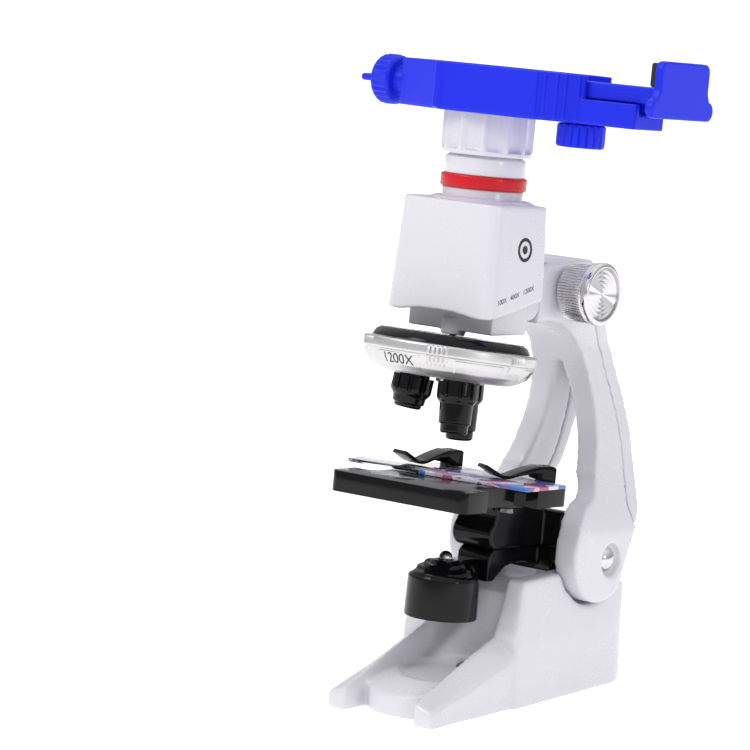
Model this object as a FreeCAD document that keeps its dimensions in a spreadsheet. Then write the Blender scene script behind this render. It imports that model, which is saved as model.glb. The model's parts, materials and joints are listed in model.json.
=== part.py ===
"""Toy microscope on a tilting fork arm, with a three-lens turret, a lamp cup and a phone holder.

Millimetres, +Z up.  The origin is on the ground below the stage aperture, the front is -Y.
The arm group is modelled upright and leans back about the fork pivot as it is put in place.
"""
import FreeCAD, Part
import math
import os
import Sketcher
from FreeCAD import Placement, Rotation, Vector

doc = FreeCAD.newDocument("microscope")

# ---------------------------------------------------------------- driving dimensions
DIMENSIONS = {
    # fork pivot and rest pose
    "pivot_back": 62.0, "pivot_height": 47.3, "arm_lean": 4.4, "pivot_bolt_radius": 2.5,
    # base
    "base_front": -36.0, "base_back": 85.0, "foot_half": 23.2, "base_half": 25.6,
    "foot_height": 8.0, "crease_height": 21.0, "shoulder_front": 15.0, "shoulder_height": 44.6,
    "shoulder_lean": 3.4, "valley_half": 14.6, "tongue_front": -30.5, "tongue_height": 12.0,
    "base_wall": 2.4, "plate_thick": 2.0, "lug_inner": 11.0, "lug_radius": 10.8,
    "toe_height": 13.0, "rear_top": 36.0, "waist_depth": 5.5, "rear_corner": 15.0,
    # fork arm
    "lobe_outer": 28.5, "lobe_inner": 18.7, "lobe_radius": 17.5, "lobe_back": 56.5,
    "lobe_height": 49.5, "arm_wall": 2.0, "arm_head_half": 12.4, "arm_top": 155.0,
    "arm_head_front": 24.6, "arm_cover_depth": 7.0,
    # focus drive
    "shaft_back": 40.6, "shaft_height": 143.6, "shaft_radius": 2.0, "knob_face": 27.9,
    "knob_length": 14.4, "knob_radius": 11.3, "pinion_radius": 4.0, "pinion_tooth": 1.0,
    # head
    "head_bottom_half": 23.0, "head_top_half": 21.0, "head_bottom": 133.5, "head_top": 173.5,
    "head_front": -21.3, "head_back": 11.2, "head_wall": 2.2, "carriage_half": 12.2,
    "nose_half": 18.0, "nose_back": 12.0, "nose_bottom": 128.2,
    # tube and eyepiece
    "tube_radius": 14.2, "tube_bore": 11.0, "ring_low": 177.6, "ring_high": 182.4,
    "ring_proud": 0.9, "tube_top": 203.0, "sleeve_low": 189.5, "sleeve_high": 220.0,
    "sleeve_proud": 1.8,
    # turret
    "turret_tilt": 5.0, "turret_back": -11.0, "turret_low": 111.2, "bowl_flat": 20.5,
    "rim_radius": 30.5, "rim_height": 11.5, "rim_band": 3.5, "bowl_wall": 1.6,
    "cap_height": 15.0, "cap_radius": 25.0, "collar_radius": 7.4, "collar_length": 5.6,
    "barrel_radius": 5.6, "tip_long": 89.3, "tip_middle": 91.8, "tip_short": 98.1,
    # stage, slide and clips
    "stage_half": 29.0, "stage_front": -34.5, "stage_back": 29.3, "stage_top": 75.9,
    "stage_thick": 7.3, "stage_hole": 7.0, "notch_depth": 7.5, "notch_front": -20.0,
    "notch_back": 10.0, "slide_length": 76.0, "slide_width": 26.0, "slide_thick": 1.2,
    "slide_back": 6.0, "slide_shift": -4.0, "slide_turn": 3.0, "clip_x": 20.5, "clip_y": 24.0, "clip_reach": 28.0, "clip_width": 7.0,
    "clip_right_turn": 28.0, "clip_left_turn": 12.0,
    # lamp
    "cup_radius": 12.95, "cup_low": 26.3, "cup_shoulder": 41.0, "led_top": 49.9,
    "led_radius": 2.4, "lamp_axis": 42.0, "lamp_arm_half": 7.0, "axle_radius": 2.2,
    # phone holder
    "holder_low": 204.0, "holder_high": 220.5, "holder_margin": 3.0, "holder_left_room": 18.0,
    "holder_right": 44.0, "holder_wall": 2.6, "end_jaw_face": 79.0,
    "screw_knob_radius": 8.6, "lock_knob_radius": 8.4, "lock_right": 38.8, "end_jaw_half": 19.0, "tail_length": 22.0,
    # clearances
    "part_gap": 0.3, "fit_gap": 0.05,
}


class Size:
    """A length that knows its value and the spreadsheet expression that gives it."""

    def __init__(self, number, words):
        self.number, self.words = float(number), words

    def combine(self, other, sign, result, swap=False):
        other = size_of(other)
        first, second = (other, self) if swap else (self, other)
        return Size(result(first.number, second.number), f"({first.words} {sign} {second.words})")

    def __add__(self, other):
        return self.combine(other, "+", lambda a, b: a + b)

    def __radd__(self, other):
        return self.combine(other, "+", lambda a, b: a + b, True)

    def __sub__(self, other):
        return self.combine(other, "-", lambda a, b: a - b)

    def __rsub__(self, other):
        return self.combine(other, "-", lambda a, b: a - b, True)

    def __mul__(self, other):
        return self.combine(other, "*", lambda a, b: a * b)

    __rmul__ = __mul__

    def __truediv__(self, other):
        return self.combine(other, "/", lambda a, b: a / b)

    def __neg__(self):
        return Size(-self.number, f"(-1 * {self.words})")

    def __float__(self):
        return self.number


def size_of(length):
    return length if isinstance(length, Size) else Size(length, f"{float(length):.6f}")


class Sheet:
    """The driving dimensions, one row each, read as attributes."""

    def __init__(self):
        self.object = doc.addObject("Spreadsheet::Sheet", "Sheet")
        for row, (alias, number) in enumerate(DIMENSIONS.items(), 1):
            self.object.set(f"A{row}", alias.replace("_", " "))
            self.object.set(f"B{row}", str(number))
            self.object.setAlias(f"B{row}", alias)
        doc.recompute()

    def __getattr__(self, alias):
        return Size(DIMENSIONS[alias], "Sheet." + alias)


s = Sheet()
s.rear_waist = s.base_back - s.waist_depth
s.ring_radius = s.tube_radius + s.ring_proud
s.sleeve_radius = s.tube_radius + s.sleeve_proud
s.holder_half = s.sleeve_radius + s.holder_margin
s.holder_left = -(s.sleeve_radius + s.holder_left_room)
s.jaw_back = -(s.sleeve_radius + 10.0)

# ---------------------------------------------------------------- modelling helpers
TURNS = {"z": Rotation(), "x": Rotation(Vector(0, 1, 0), 90), "y": Rotation(Vector(1, 0, 0), -90)}


def bind(item, **lengths):
    """Bind properties of a document object to spreadsheet expressions."""
    for path, length in lengths.items():
        item.setExpression(path.replace("__", "."), size_of(length).words)


def seat(item, x, y, z):
    bind(item, Placement__Base__x=x, Placement__Base__y=y, Placement__Base__z=z)
    return item


def box(name, x, y, z):
    item = doc.addObject("Part::Box", name)
    bind(item, Length=size_of(x[1]) - x[0], Width=size_of(y[1]) - y[0], Height=size_of(z[1]) - z[0])
    return seat(item, x[0], y[0], z[0])


def along(item, axis, centre, low):
    """Turn a part that was made along Z onto an axis; centre gives the two other coordinates."""
    item.Placement = Placement(Vector(), TURNS[axis])
    first, second = centre
    places = {"x": (low, first, second), "y": (first, low, second), "z": (first, second, low)}
    return seat(item, *places[axis])


def rod(name, axis, centre, radius, low, high):
    item = doc.addObject("Part::Cylinder", name)
    bind(item, Radius=radius, Height=size_of(high) - low)
    return along(item, axis, centre, low)


def cone(name, axis, centre, radius_low, radius_high, low, high):
    item = doc.addObject("Part::Cone", name)
    bind(item, Radius1=radius_low, Radius2=radius_high, Height=size_of(high) - low)
    return along(item, axis, centre, low)


def ball(name, x, y, z, radius):
    item = doc.addObject("Part::Sphere", name)
    bind(item, Radius=radius)
    return seat(item, x, y, z)


def frustum(name, x_low, y_low, x_high, y_high, z):
    """A block with a rectangular bottom and a rectangular top, each given as (low, high) pairs."""
    item = doc.addObject("Part::Wedge", name)
    bind(item, Xmin=x_low[0], Xmax=x_low[1], Zmin=-size_of(y_low[1]), Zmax=-size_of(y_low[0]),
         X2min=x_high[0], X2max=x_high[1], Z2min=-size_of(y_high[1]), Z2max=-size_of(y_high[0]),
         Ymin=z[0], Ymax=z[1])
    item.Placement = Placement(Vector(), Rotation(Vector(1, 0, 0), 90))
    return item


def fuse(name, *items):
    item = doc.addObject("Part::MultiFuse", name)
    item.Shapes = list(items)
    item.Refine = True
    return item


def common(name, *items):
    item = doc.addObject("Part::MultiCommon", name)
    item.Shapes = list(items)
    return item


def cut(name, solid, *tools):
    item = doc.addObject("Part::Cut", name)
    item.Base = solid
    item.Tool = tools[0] if len(tools) == 1 else fuse(name + "_tools", *tools)
    return item


def group(name, *items):
    item = doc.addObject("Part::Compound", name)
    item.Links = list(items)
    return item


def outline_sketch(body, name, plane, outline, offset):
    """A closed outline of corners; ("via", point, corner) reaches its corner by an arc."""
    sketch = body.newObject("Sketcher::SketchObject", name + "_outline")
    face = [item for item in body.Origin.OriginFeatures if item.Role == plane + "_Plane"][0]
    sketch.AttachmentSupport = [(face, "")]
    sketch.MapMode = "FlatFace"
    sketch.setExpression("AttachmentOffset.Base.z", size_of(offset).words)
    corners = [step[-1] if step[0] == "via" else step for step in outline]
    flat = [Vector(float(a), float(b), 0) for a, b in corners]
    ends = []
    for index, step in enumerate(outline):
        start, end = flat[index - 1], flat[index]
        if step[0] == "via":
            middle = Vector(float(step[1][0]), float(step[1][1]), 0)
            if (middle - start).cross(end - middle).z > 0:
                ends.append((sketch.addGeometry(Part.Arc(start, middle, end)), 1, 2))
            else:
                ends.append((sketch.addGeometry(Part.Arc(end, middle, start)), 2, 1))
        else:
            ends.append((sketch.addGeometry(Part.LineSegment(start, end)), 1, 2))
    for index, (edge, _, end) in enumerate(ends):
        after, start, _ = ends[(index + 1) % len(ends)]
        sketch.addConstraint(Sketcher.Constraint("Coincident", edge, end, after, start))
        pin(sketch, edge, end, corners[index])
    return sketch


def pin(sketch, edge, end, corner):
    """Hold a sketch point at two bound distances from the sketch's origin."""
    for kind, length in zip(("DistanceX", "DistanceY"), corner):
        length = size_of(length)
        number = sketch.addConstraint(Sketcher.Constraint(kind, -1, 1, edge, end, length.number))
        sketch.setExpression(f"Constraints[{number}]", length.words)


def prism(name, plane, outline, low, high):
    """An outline on the XY, XZ or YZ plane, padded from low to high along the third axis."""
    body = doc.addObject("PartDesign::Body", name)
    offset = -size_of(high) if plane == "XZ" else low
    sketch = outline_sketch(body, name, plane, outline, offset)
    pad = body.newObject("PartDesign::Pad", name + "_pad")
    pad.Profile = sketch
    bind(pad, Length=size_of(high) - low)
    return body


def turned(name, outline):
    """An outline of (radius, height) corners turned about Z."""
    body = doc.addObject("PartDesign::Body", name)
    sketch = outline_sketch(body, name, "XZ", outline, 0)
    turn = body.newObject("PartDesign::Revolution", name + "_turn")
    turn.Profile = sketch
    turn.ReferenceAxis = (sketch, ["V_Axis"])
    turn.Angle = 360
    return body


def ring(name, axis, centre, outer, inner, low, high):
    return cut(name, rod(name + "_outside", axis, centre, outer, low, high),
               rod(name + "_bore", axis, centre, inner, low - size_of(1), high + size_of(1)))


def rounded(name, solid, radius, wanted):
    """Fillet the edges of a solid that a test picks."""
    doc.recompute()
    picked = [index for index, edge in enumerate(solid.Shape.Edges, 1) if wanted(edge)]
    item = doc.addObject("Part::Fillet", name)
    item.Base = solid
    item.Edges = [(index, float(radius), float(radius)) for index in picked]
    return item


def runs_along(axis):
    """A test for straight edges along an axis."""
    def test(edge):
        ends = [vertex.Point for vertex in edge.Vertexes]
        if len(ends) != 2 or not isinstance(edge.Curve, Part.Line):
            return False
        run = (ends[1] - ends[0]).normalize()
        return abs(run.dot(axis)) > 0.999
    return test


X, Y, Z = Vector(1, 0, 0), Vector(0, 1, 0), Vector(0, 0, 1)


def about(point, axis, degrees):
    """The placement that turns a part about an axis through a point."""
    turn = Rotation(axis, degrees)
    return Placement(point - turn.multVec(point), turn)


GROUND = Placement()
ARM = about(Vector(0, float(s.pivot_back), float(s.pivot_height)), X, -float(s.arm_lean))
TURRET_POINT = Vector(0, float(s.turret_back), float(s.turret_low))
TURRET_LEAN = about(TURRET_POINT, X, -float(s.turret_tilt))
TURRET_AXIS = TURRET_LEAN.Rotation.multVec(Z)
pieces = []


def piece(label, item, place=ARM):
    """Name a finished sub-part and put it where it rests."""
    if item.Placement.isIdentity() and not item.ExpressionEngine:
        item.Placement = place
    else:
        item = group(label + "_placed", item)
        item.Placement = place
    item.Label = label
    pieces.append(item)
    return item


# ---------------------------------------------------------------- base
def leg_block(name, side, inset):
    """One long foot of the horseshoe: its outer wall rises to a crease, its top to the valley."""
    inner, foot, wide = s.valley_half + inset, s.foot_half - inset, s.base_half - inset
    stations = [
        (s.base_front + inset, foot - 0.6, s.foot_height * 0.7, s.foot_height),
        (s.base_front + 24, foot + 0.2, s.crease_height * 0.55, s.crease_height * 0.85),
        (s.shoulder_front + 1, wide - 1.2, s.crease_height * 0.95, s.crease_height * 1.35),
    ]
    wires = []
    for along_y, outer, crease, ridge in stations:
        low, high = -1.0 if float(inset) else 0.0, float(inset)
        points = [(inner, low), (outer, low), (outer, float(crease) - high), (inner, float(ridge) - high)]
        corners = [Vector(side * float(x), float(along_y), float(z)) for x, z in points]
        wires.append(Part.makePolygon(corners + corners[:1]))
    item = doc.addObject("Part::Feature", name)
    item.Shape = Part.makeLoft(wires, True, True)
    return item


def rear_block(name, inset):
    """The tall rear of the base: shoulders in front, a waisted back wall and a toe."""
    low = -1.0 if float(inset) else 0.0
    top, back, toe = s.shoulder_height - inset, s.base_back - inset, s.toe_height - inset
    outline = [
        (s.shoulder_front - 5 + inset, low), (back, low), (back - 0.5, toe * 0.4),
        ("via", (s.rear_waist + 0.8 - inset, toe * 1.15), (s.rear_waist - inset, s.rear_top * 0.72)),
        (s.rear_waist - 1.0 - inset, s.rear_top - inset), (s.rear_waist - 6, s.rear_top + 3 - inset),
        (s.pivot_back - 6, top), (s.shoulder_front + 1.5 + inset, top),
        (s.shoulder_front - 5 + inset, s.crease_height * 1.25),
    ]
    half = s.base_half - inset
    block = prism(name + "_side", "YZ", outline, -half, half)
    lean = s.shoulder_lean
    front_view = [(-half, low - 1), (half, low - 1), (half, s.crease_height),
                  (half - lean, s.shoulder_height + 1), (lean - half, s.shoulder_height + 1),
                  (-half, s.crease_height)]
    slab = prism(name + "_front", "XZ", front_view, s.base_front - 2, s.base_back + 2)
    corner = s.rear_corner - inset
    near = corner * (1 - math.sqrt(0.5))
    plan = prism(name + "_plan", "XY", [
        (-half, s.base_front), (half, s.base_front), (half, back - corner),
        ("via", (half - near, back - near), (half - corner, back)), (corner - half, back),
        ("via", (near - half, back - near), (-half, back - corner))], low - 1, s.shoulder_height + 2)
    return common(name, block, slab, plan)


def tongue_plan(inset, back):
    """The room under the tongue, seen from above."""
    half, front = s.valley_half - inset, s.tongue_front + inset
    return [(-half, back), (-half, front + 11), (-half * 0.3, front + 3), (half * 0.3, front + 3),
            (half, front + 11), (half, back)]


def make_base():
    rear = rear_block("rear_outside", size_of(0))
    tongue = prism("tongue", "XY", [
        (-s.valley_half, s.shoulder_front + 2), (-s.valley_half, s.tongue_front + 9),
        ("via", (-s.valley_half * 0.72, s.tongue_front + 3), (-s.valley_half * 0.3, s.tongue_front + 0.4)),
        (s.valley_half * 0.3, s.tongue_front + 0.4),
        ("via", (s.valley_half * 0.72, s.tongue_front + 3), (s.valley_half, s.tongue_front + 9)),
        (s.valley_half, s.shoulder_front + 2)], 0, s.tongue_height + 8)
    slope = prism("tongue_slope", "YZ", [
        (s.tongue_front - 4, s.tongue_height * 0.5), ("via", (s.tongue_front + 10, s.tongue_height * 0.84),
                                                      (s.tongue_front + 24, s.tongue_height)),
        (s.shoulder_front - 4, s.tongue_height + 1), (s.shoulder_front + 4, s.tongue_height + 10),
        (s.shoulder_front + 4, s.tongue_height + 40), (s.tongue_front - 4, s.tongue_height + 40)],
        -s.valley_half, s.valley_half)
    outside = fuse("base_outside", rear, tongue, leg_block("right_leg", 1, size_of(0)),
                   leg_block("left_leg", -1, size_of(0)))
    valley = prism("valley", "YZ", [
        (s.shoulder_front - 8, s.tongue_height + 1), (s.shoulder_front - 4, s.tongue_height + 1),
        ("via", (s.shoulder_front + 8, s.tongue_height + 9), (s.pivot_back - 26, s.tongue_height + 22)),
        (s.pivot_back - 14, s.tongue_height + 25), (s.pivot_back + 13, s.tongue_height + 20),
        (s.pivot_back + 13, s.shoulder_height + 30), (s.shoulder_front - 8, s.shoulder_height + 30)],
        -s.valley_half, s.valley_half)
    hollow = rod("cup_hollow", "z", (0, -1), s.cup_radius + 1.6, s.tongue_height - 1.4, s.tongue_height + 30)
    recesses = [rod("lobe_recess_" + word, "x", (s.lobe_back, s.lobe_height), s.lobe_radius + 0.8, low, high)
                for word, low, high in (("right", s.lobe_inner - 0.5, s.lobe_outer + 4),
                                        ("left", -s.lobe_outer - 4, -s.lobe_inner + 0.5))]
    lugs = [rod("lug_" + word, "x", (s.pivot_back, s.pivot_height), s.lug_radius, low, high)
            for word, low, high in (("right", s.lug_inner, s.lobe_inner - 0.5),
                                    ("left", -s.lobe_inner + 0.5, -s.lug_inner))]
    lug_feet = [box("lug_foot_" + word, (low, high), (s.pivot_back - s.lug_radius, s.pivot_back + s.lug_radius),
                    (s.tongue_height + 12, s.pivot_height))
                for word, low, high in (("right", s.lug_inner, s.lobe_inner - 0.5),
                                        ("left", -s.lobe_inner + 0.5, -s.lug_inner))]
    inside = cut("rear_inside", rear_block("rear_room", s.base_wall),
                 prism("valley_floor", "YZ", [
                     (s.shoulder_front - 12, s.tongue_height - s.base_wall), (s.shoulder_front - 3, s.tongue_height - s.base_wall + 1),
                     ("via", (s.shoulder_front + 9, s.tongue_height + 9 - s.base_wall * 1.5),
                      (s.pivot_back - 25, s.tongue_height + 22 - s.base_wall)),
                     (s.pivot_back + 15.4, s.tongue_height + 18 - s.base_wall),
                     (s.pivot_back + 15.4, s.shoulder_height + 30), (s.shoulder_front - 12, s.shoulder_height + 30)],
                     -s.valley_half - s.base_wall, s.valley_half + s.base_wall),
                 *[rod("recess_wall_" + word, "x", (s.lobe_back, s.lobe_height), s.lobe_radius + 0.8 + s.base_wall,
                       low, high)
                   for word, low, high in (("right", s.lobe_inner - 0.5 - s.base_wall, s.lobe_outer + 4),
                                           ("left", -s.lobe_outer - 4, -s.lobe_inner + 0.5 + s.base_wall))])
    under_tongue = prism("tongue_room", "XY", tongue_plan(size_of(0), s.shoulder_front), -1, s.tongue_height * 0.62)
    bolt_hole = rod("bolt_hole", "x", (s.pivot_back, s.pivot_height), s.pivot_bolt_radius + s.fit_gap,
                    -s.lobe_outer, s.lobe_outer)
    carved = cut("base_carved", outside, valley, slope, hollow, *recesses)
    shell = cut("base_body", carved, inside, under_tongue, leg_block("right_leg_room", 1, s.base_wall),
                leg_block("left_leg_room", -1, s.base_wall))
    shell = cut("base_with_lugs", fuse("base_lugged", shell, *lugs, *lug_feet), bolt_hole,
                box("switch_window", (-5.2, 5.2), (s.rear_waist - 6, s.base_back + 2), (s.rear_top * 0.62, s.rear_top * 0.62 + 4.4)))
    piece("base_shell", shell, GROUND)


def make_base_inside():
    room_half, room_back = s.base_half - s.base_wall - s.part_gap, s.base_back - s.base_wall - s.part_gap - 0.5
    door_half, door_front, door_back = size_of(16.6), s.shoulder_front + 8, s.base_back - 8.5
    sheet = rounded("plate_rounded", box("plate_sheet", (-room_half, room_half), (s.shoulder_front + 2.5, room_back),
                                         (0, s.plate_thick)),
                    s.rear_corner - s.base_wall + 0.2, lambda edge: runs_along(Z)(edge) and edge.CenterOfMass.y > 50)
    apron = prism("plate_apron", "XY", tongue_plan(s.part_gap, s.shoulder_front + 4), 0, s.plate_thick)
    plate = fuse("plate_flat", sheet, apron)
    opening = box("door_opening", (-door_half, door_half), (door_front, door_back), (-1, s.plate_thick + 2))
    posts = [rod(f"plate_post_{index}", "z", (x, y), 2.6, s.plate_thick, s.plate_thick + 6)
             for index, (x, y) in enumerate(screw_places())]
    holes = [rod(f"plate_hole_{index}", "z", (x, y), 1.25, -1, s.plate_thick + 9)
             for index, (x, y) in enumerate(screw_places())]
    sinks = [rod(f"plate_sink_{index}", "z", (x, y), 2.4, -1, 1.3) for index, (x, y) in enumerate(screw_places())]
    piece("base_plate", cut("plate", fuse("plate_posts", plate, *posts), opening, *holes, *sinks), GROUND)
    door = box("door_sheet", (-door_half + 0.3, door_half - 0.3), (door_front + 0.3, door_back - 0.3),
               (0, s.plate_thick))
    grip = prism("door_grip", "XY", [(-5, door_back - 4), (5, door_back - 4), (0, door_back - 10)], 0, 0.9)
    piece("battery_cover", cut("door", door, grip), GROUND)
    cell_radius, cell_length = 7.1, 50.0
    cell_low = s.plate_thick + 1.0
    for word, side in (("right", 1), ("left", -1)):
        centre = (side * 7.9, cell_low + cell_radius)
        start = door_front + 2.2
        piece("battery_" + word, fuse("cell_" + word,
              rod("cell_can_" + word, "y", centre, cell_radius, start, start + cell_length - 1.2),
              rod("cell_tip_" + word, "y", centre, 2.7, start + cell_length - 1.2, start + cell_length)), GROUND)
    for word, low in (("front", door_front + 1.2), ("rear", door_front + 2.7 + cell_length)):
        strip = box("contact_" + word, (-13, 13), (low, low + 0.6), (s.plate_thick + 1, s.plate_thick + 12))
        piece("battery_contact_" + word, strip, GROUND)
    screws = [fuse(f"plate_screw_{index}", rod(f"plate_shank_{index}", "z", (x, y), 1.2, 1.2, s.plate_thick + 8),
                   cone(f"plate_head_{index}", "z", (x, y), 2.2, 1.2, 0.1, 1.25))
              for index, (x, y) in enumerate(screw_places())]
    piece("base_screws", group("plate_screws", *screws), GROUND)
    middle = s.rear_top * 0.62 + 2.2
    slider = fuse("slider", box("slider_body", (-6.5, 1.5), (s.rear_waist - 5.2, s.rear_waist - 3.2), (middle - 3, middle + 3)),
                  box("slider_tab", (-4.6, -0.6), (s.rear_waist - 3.6, s.rear_waist + 0.9), (middle - 1.8, middle + 1.8)))
    piece("power_switch", slider, GROUND)


def screw_places():
    return [(side * 19.6, y) for side in (1, -1) for y in (s.shoulder_front + 7, s.base_back - 12)]


# ---------------------------------------------------------------- fork arm
def fork_side(inset):
    """The arm from the side: a head, a bowed leg and a round lobe at the pivot."""
    lobe, up, back = s.lobe_radius - inset, s.lobe_height, s.lobe_back
    return [
        (s.arm_head_front + inset, s.arm_top - 4 - inset), (s.arm_head_front + inset, 131.0 + inset),
        ("via", (46.0 + inset, 128.5 + inset), (57.0 + inset, 116.5)),
        ("via", (61.6 + inset, 97.0), (57.4 + inset, 77.0)),
        ("via", (55.0 + inset, 71.0), (49.6 + inset * 0.7, 67.5 - inset * 0.7)),
        ("via", (back - lobe, up + 3.0), (back - lobe * 0.7071, up - lobe * 0.7071)),
        ("via", (back, up - lobe), (back + lobe * 0.7071, up - lobe * 0.7071)),
        ("via", (back + lobe * 0.97, up + lobe * 0.1), (81.0 - inset, 66.0)),
        ("via", (83.6 - inset, 88.0), (77.0 - inset, 113.0)),
        ("via", (66.0 - inset, 137.0 - inset * 0.5), (55.0 - inset, s.arm_top - 0.5 - inset)),
    ]


def fork_front(inset):
    """The arm from the front: a narrow head that opens into two legs and two pivot lobes."""
    lobe, head = s.lobe_outer - inset, s.arm_head_half - inset
    inner = s.lobe_inner + inset
    right = [
        (head, s.arm_top + 2 - inset), (head - 1.0, 124.0),
        ("via", (14.4 - inset, 104.5), (17.8 - inset, 90.0)), ("via", (21.0 - inset, 77.0), (25.4 - inset, 66.0)),
        ("via", (27.6 - inset, 60.0), (lobe, 52.0)), (lobe, 28.0 + inset), (inner, 28.0 + inset), (inner, 56.0),
        ("via", (16.8 + inset, 64.5), (11.6 + inset, 77.0)), ("via", (7.6 + inset, 92.0), (0.6 + inset, 117.5 + inset)),
    ]
    mirrored = []
    previous = right[-1][-1] if right[-1][0] == "via" else right[-1]
    mirrored.append((-previous[0], previous[1]))
    for index in range(len(right) - 1, 0, -1):
        before = right[index - 1]
        corner = before[-1] if before[0] == "via" else before
        corner = (-corner[0], corner[1])
        step = right[index]
        if step[0] == "via":
            mirrored.append(("via", (-step[1][0], step[1][1]), corner))
        else:
            mirrored.append(corner)
    return right + mirrored


def make_arm():
    half = s.lobe_outer + 2
    whole = common("fork", prism("fork_side", "YZ", fork_side(size_of(0)), -half, half),
                   prism("fork_front", "XZ", fork_front(size_of(0)), 10, 100))
    room = common("fork_room", prism("room_side", "YZ", fork_side(s.arm_wall), -half, half),
                  prism("room_front", "XZ", fork_front(s.arm_wall), 10, 100))
    depth = s.arm_cover_depth
    rear = prism("cover_region", "YZ", [
        (110, 60), (110, 170), (55.0 - depth, 170), (55.0 - depth, s.arm_top - 4),
        ("via", (66.0 - depth, 136.0), (77.0 - depth, 113.0)),
        ("via", (83.6 - depth, 88.0), (81.0 - depth, 66.0)), (83.0 - depth, 60)], -half, half)
    hollow = cut("fork_hollow", whole, room)
    centre = (s.shaft_back, s.shaft_height)
    bosses = [rod("shaft_boss_" + word, "x", centre, 8.6, low, high)
              for word, low, high in (("right", s.arm_head_half - 2, s.arm_head_half + 0.9),
                                      ("left", -s.arm_head_half - 0.9, 2 - s.arm_head_half))]
    shaft_hole = rod("shaft_hole", "x", centre, s.shaft_radius + 2.0, -half, half)
    rack_slot = box("rack_slot", (-4.6, 4.6), (s.arm_head_front - 1, s.shaft_back - 2),
                    (s.shaft_height - 20, s.arm_top + 4))
    pivot = (s.pivot_back, s.pivot_height)
    sinks = [rod("bolt_sink_" + word, "x", pivot, 5.9, low, high)
             for word, low, high in (("right", s.lobe_outer - 3.2, s.lobe_outer + 3),
                                     ("left", -s.lobe_outer - 3, 3.2 - s.lobe_outer))]
    sleeves = [rod("bolt_sleeve_" + word, "x", pivot, 7.4, low, high)
               for word, low, high in (("right", s.lobe_inner, s.lobe_outer - 0.5),
                                       ("left", 0.5 - s.lobe_outer, -s.lobe_inner))]
    bolt_hole = rod("arm_bolt_hole", "x", pivot, s.pivot_bolt_radius + s.fit_gap, -half, half)
    shell = cut("arm_shell", fuse("arm_bossed", hollow, *bosses, *sleeves),
                rear, shaft_hole, rack_slot, bolt_hole, *sinks)
    piece("arm_frame", shell)
    cover = common("cover", hollow, rear)
    piece("arm_back_cover", cover)
    bushes = [ring("bush_" + word, "x", centre, s.shaft_radius + 1.95, s.shaft_radius + s.fit_gap, low, high)
              for word, low, high in (("right", s.arm_head_half - 4, s.arm_head_half + 0.8),
                                      ("left", -s.arm_head_half - 0.8, 4 - s.arm_head_half))]
    piece("shaft_bushes", group("bushes", *bushes))
    for word, side in (("right", 1), ("left", -1)):
        face, inner = side * (s.lobe_outer - 3.1), side * (s.lug_inner - 3.6)
        low, high = (inner, face) if side > 0 else (face, inner)
        head_low, head_high = (face, face + 2.2) if side > 0 else (face - 2.2, face)
        head = common("bolt_dome_" + word, ball("bolt_ball_" + word, face - side * 2.6, s.pivot_back, s.pivot_height, 5.4),
                      rod("bolt_head_" + word, "x", pivot, 5.0, head_low if side > 0 else head_low - 2,
                          head_high + 2 if side > 0 else head_high))
        piece("pivot_bolt_" + word, fuse("bolt_" + word, head,
              rod("bolt_shank_" + word, "x", pivot, s.pivot_bolt_radius, low, high)))
        nut_low, nut_high = (s.lug_inner - 3.2, s.lug_inner - 0.1) if side > 0 else (0.1 - s.lug_inner, 3.2 - s.lug_inner)
        piece("pivot_nut_" + word, ring("nut_" + word, "x", pivot, 4.4, s.pivot_bolt_radius, nut_low, nut_high))


# ---------------------------------------------------------------- focus drive
def make_focus():
    centre = (s.shaft_back, s.shaft_height)
    end = s.knob_face - 3
    piece("focus_shaft", rod("focus_rod", "x", centre, s.shaft_radius, -end, end))
    teeth = [box(f"tooth_{index}", (-3.6, 3.6), (-0.4, 0.4), (s.pinion_radius - 1, s.pinion_radius + s.pinion_tooth * 0.4))
             for index in range(12)]
    placed = []
    for index, tooth in enumerate(teeth):
        holder = group(f"tooth_place_{index}", tooth)
        spin = Rotation(X, 30.0 * index)
        holder.Placement = Placement(Vector(0, float(centre[0]), float(centre[1])), spin)
        placed.append(holder)
    wheel = rod("pinion_wheel", "x", centre, s.pinion_radius - 0.6, -3.6, 3.6)
    bore = rod("pinion_bore", "x", centre, s.shaft_radius, -5, 5)
    piece("focus_pinion", cut("pinion", fuse("pinion_teeth", wheel, *placed), bore))
    for word, side in (("right", 1), ("left", -1)):
        back = s.knob_face - s.knob_length
        profile = [(s.shaft_radius, 0.0), (s.knob_radius - 1.2, 0.0), (s.knob_radius - 0.5, 0.8),
                   (s.knob_radius - 0.5, s.knob_length - 3.2), (s.knob_radius, s.knob_length - 2.6),
                   (s.knob_radius, s.knob_length - 0.7), (s.knob_radius - 0.7, s.knob_length),
                   (s.knob_radius - 1.6, s.knob_length), (s.knob_radius - 2.2, s.knob_length - 0.8),
                   (0.0, s.knob_length - 0.8), (0.0, s.knob_length - 2.9), (s.shaft_radius, s.knob_length - 2.9)]
        knob = turned("knob_body_" + word, profile)
        holder = group("knob_" + word, knob)
        turn = Rotation(Y, 90.0 * side)
        holder.Placement = Placement(Vector(side * float(back), float(centre[0]), float(centre[1])), turn)
        piece("focus_knob_" + word, holder)


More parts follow.
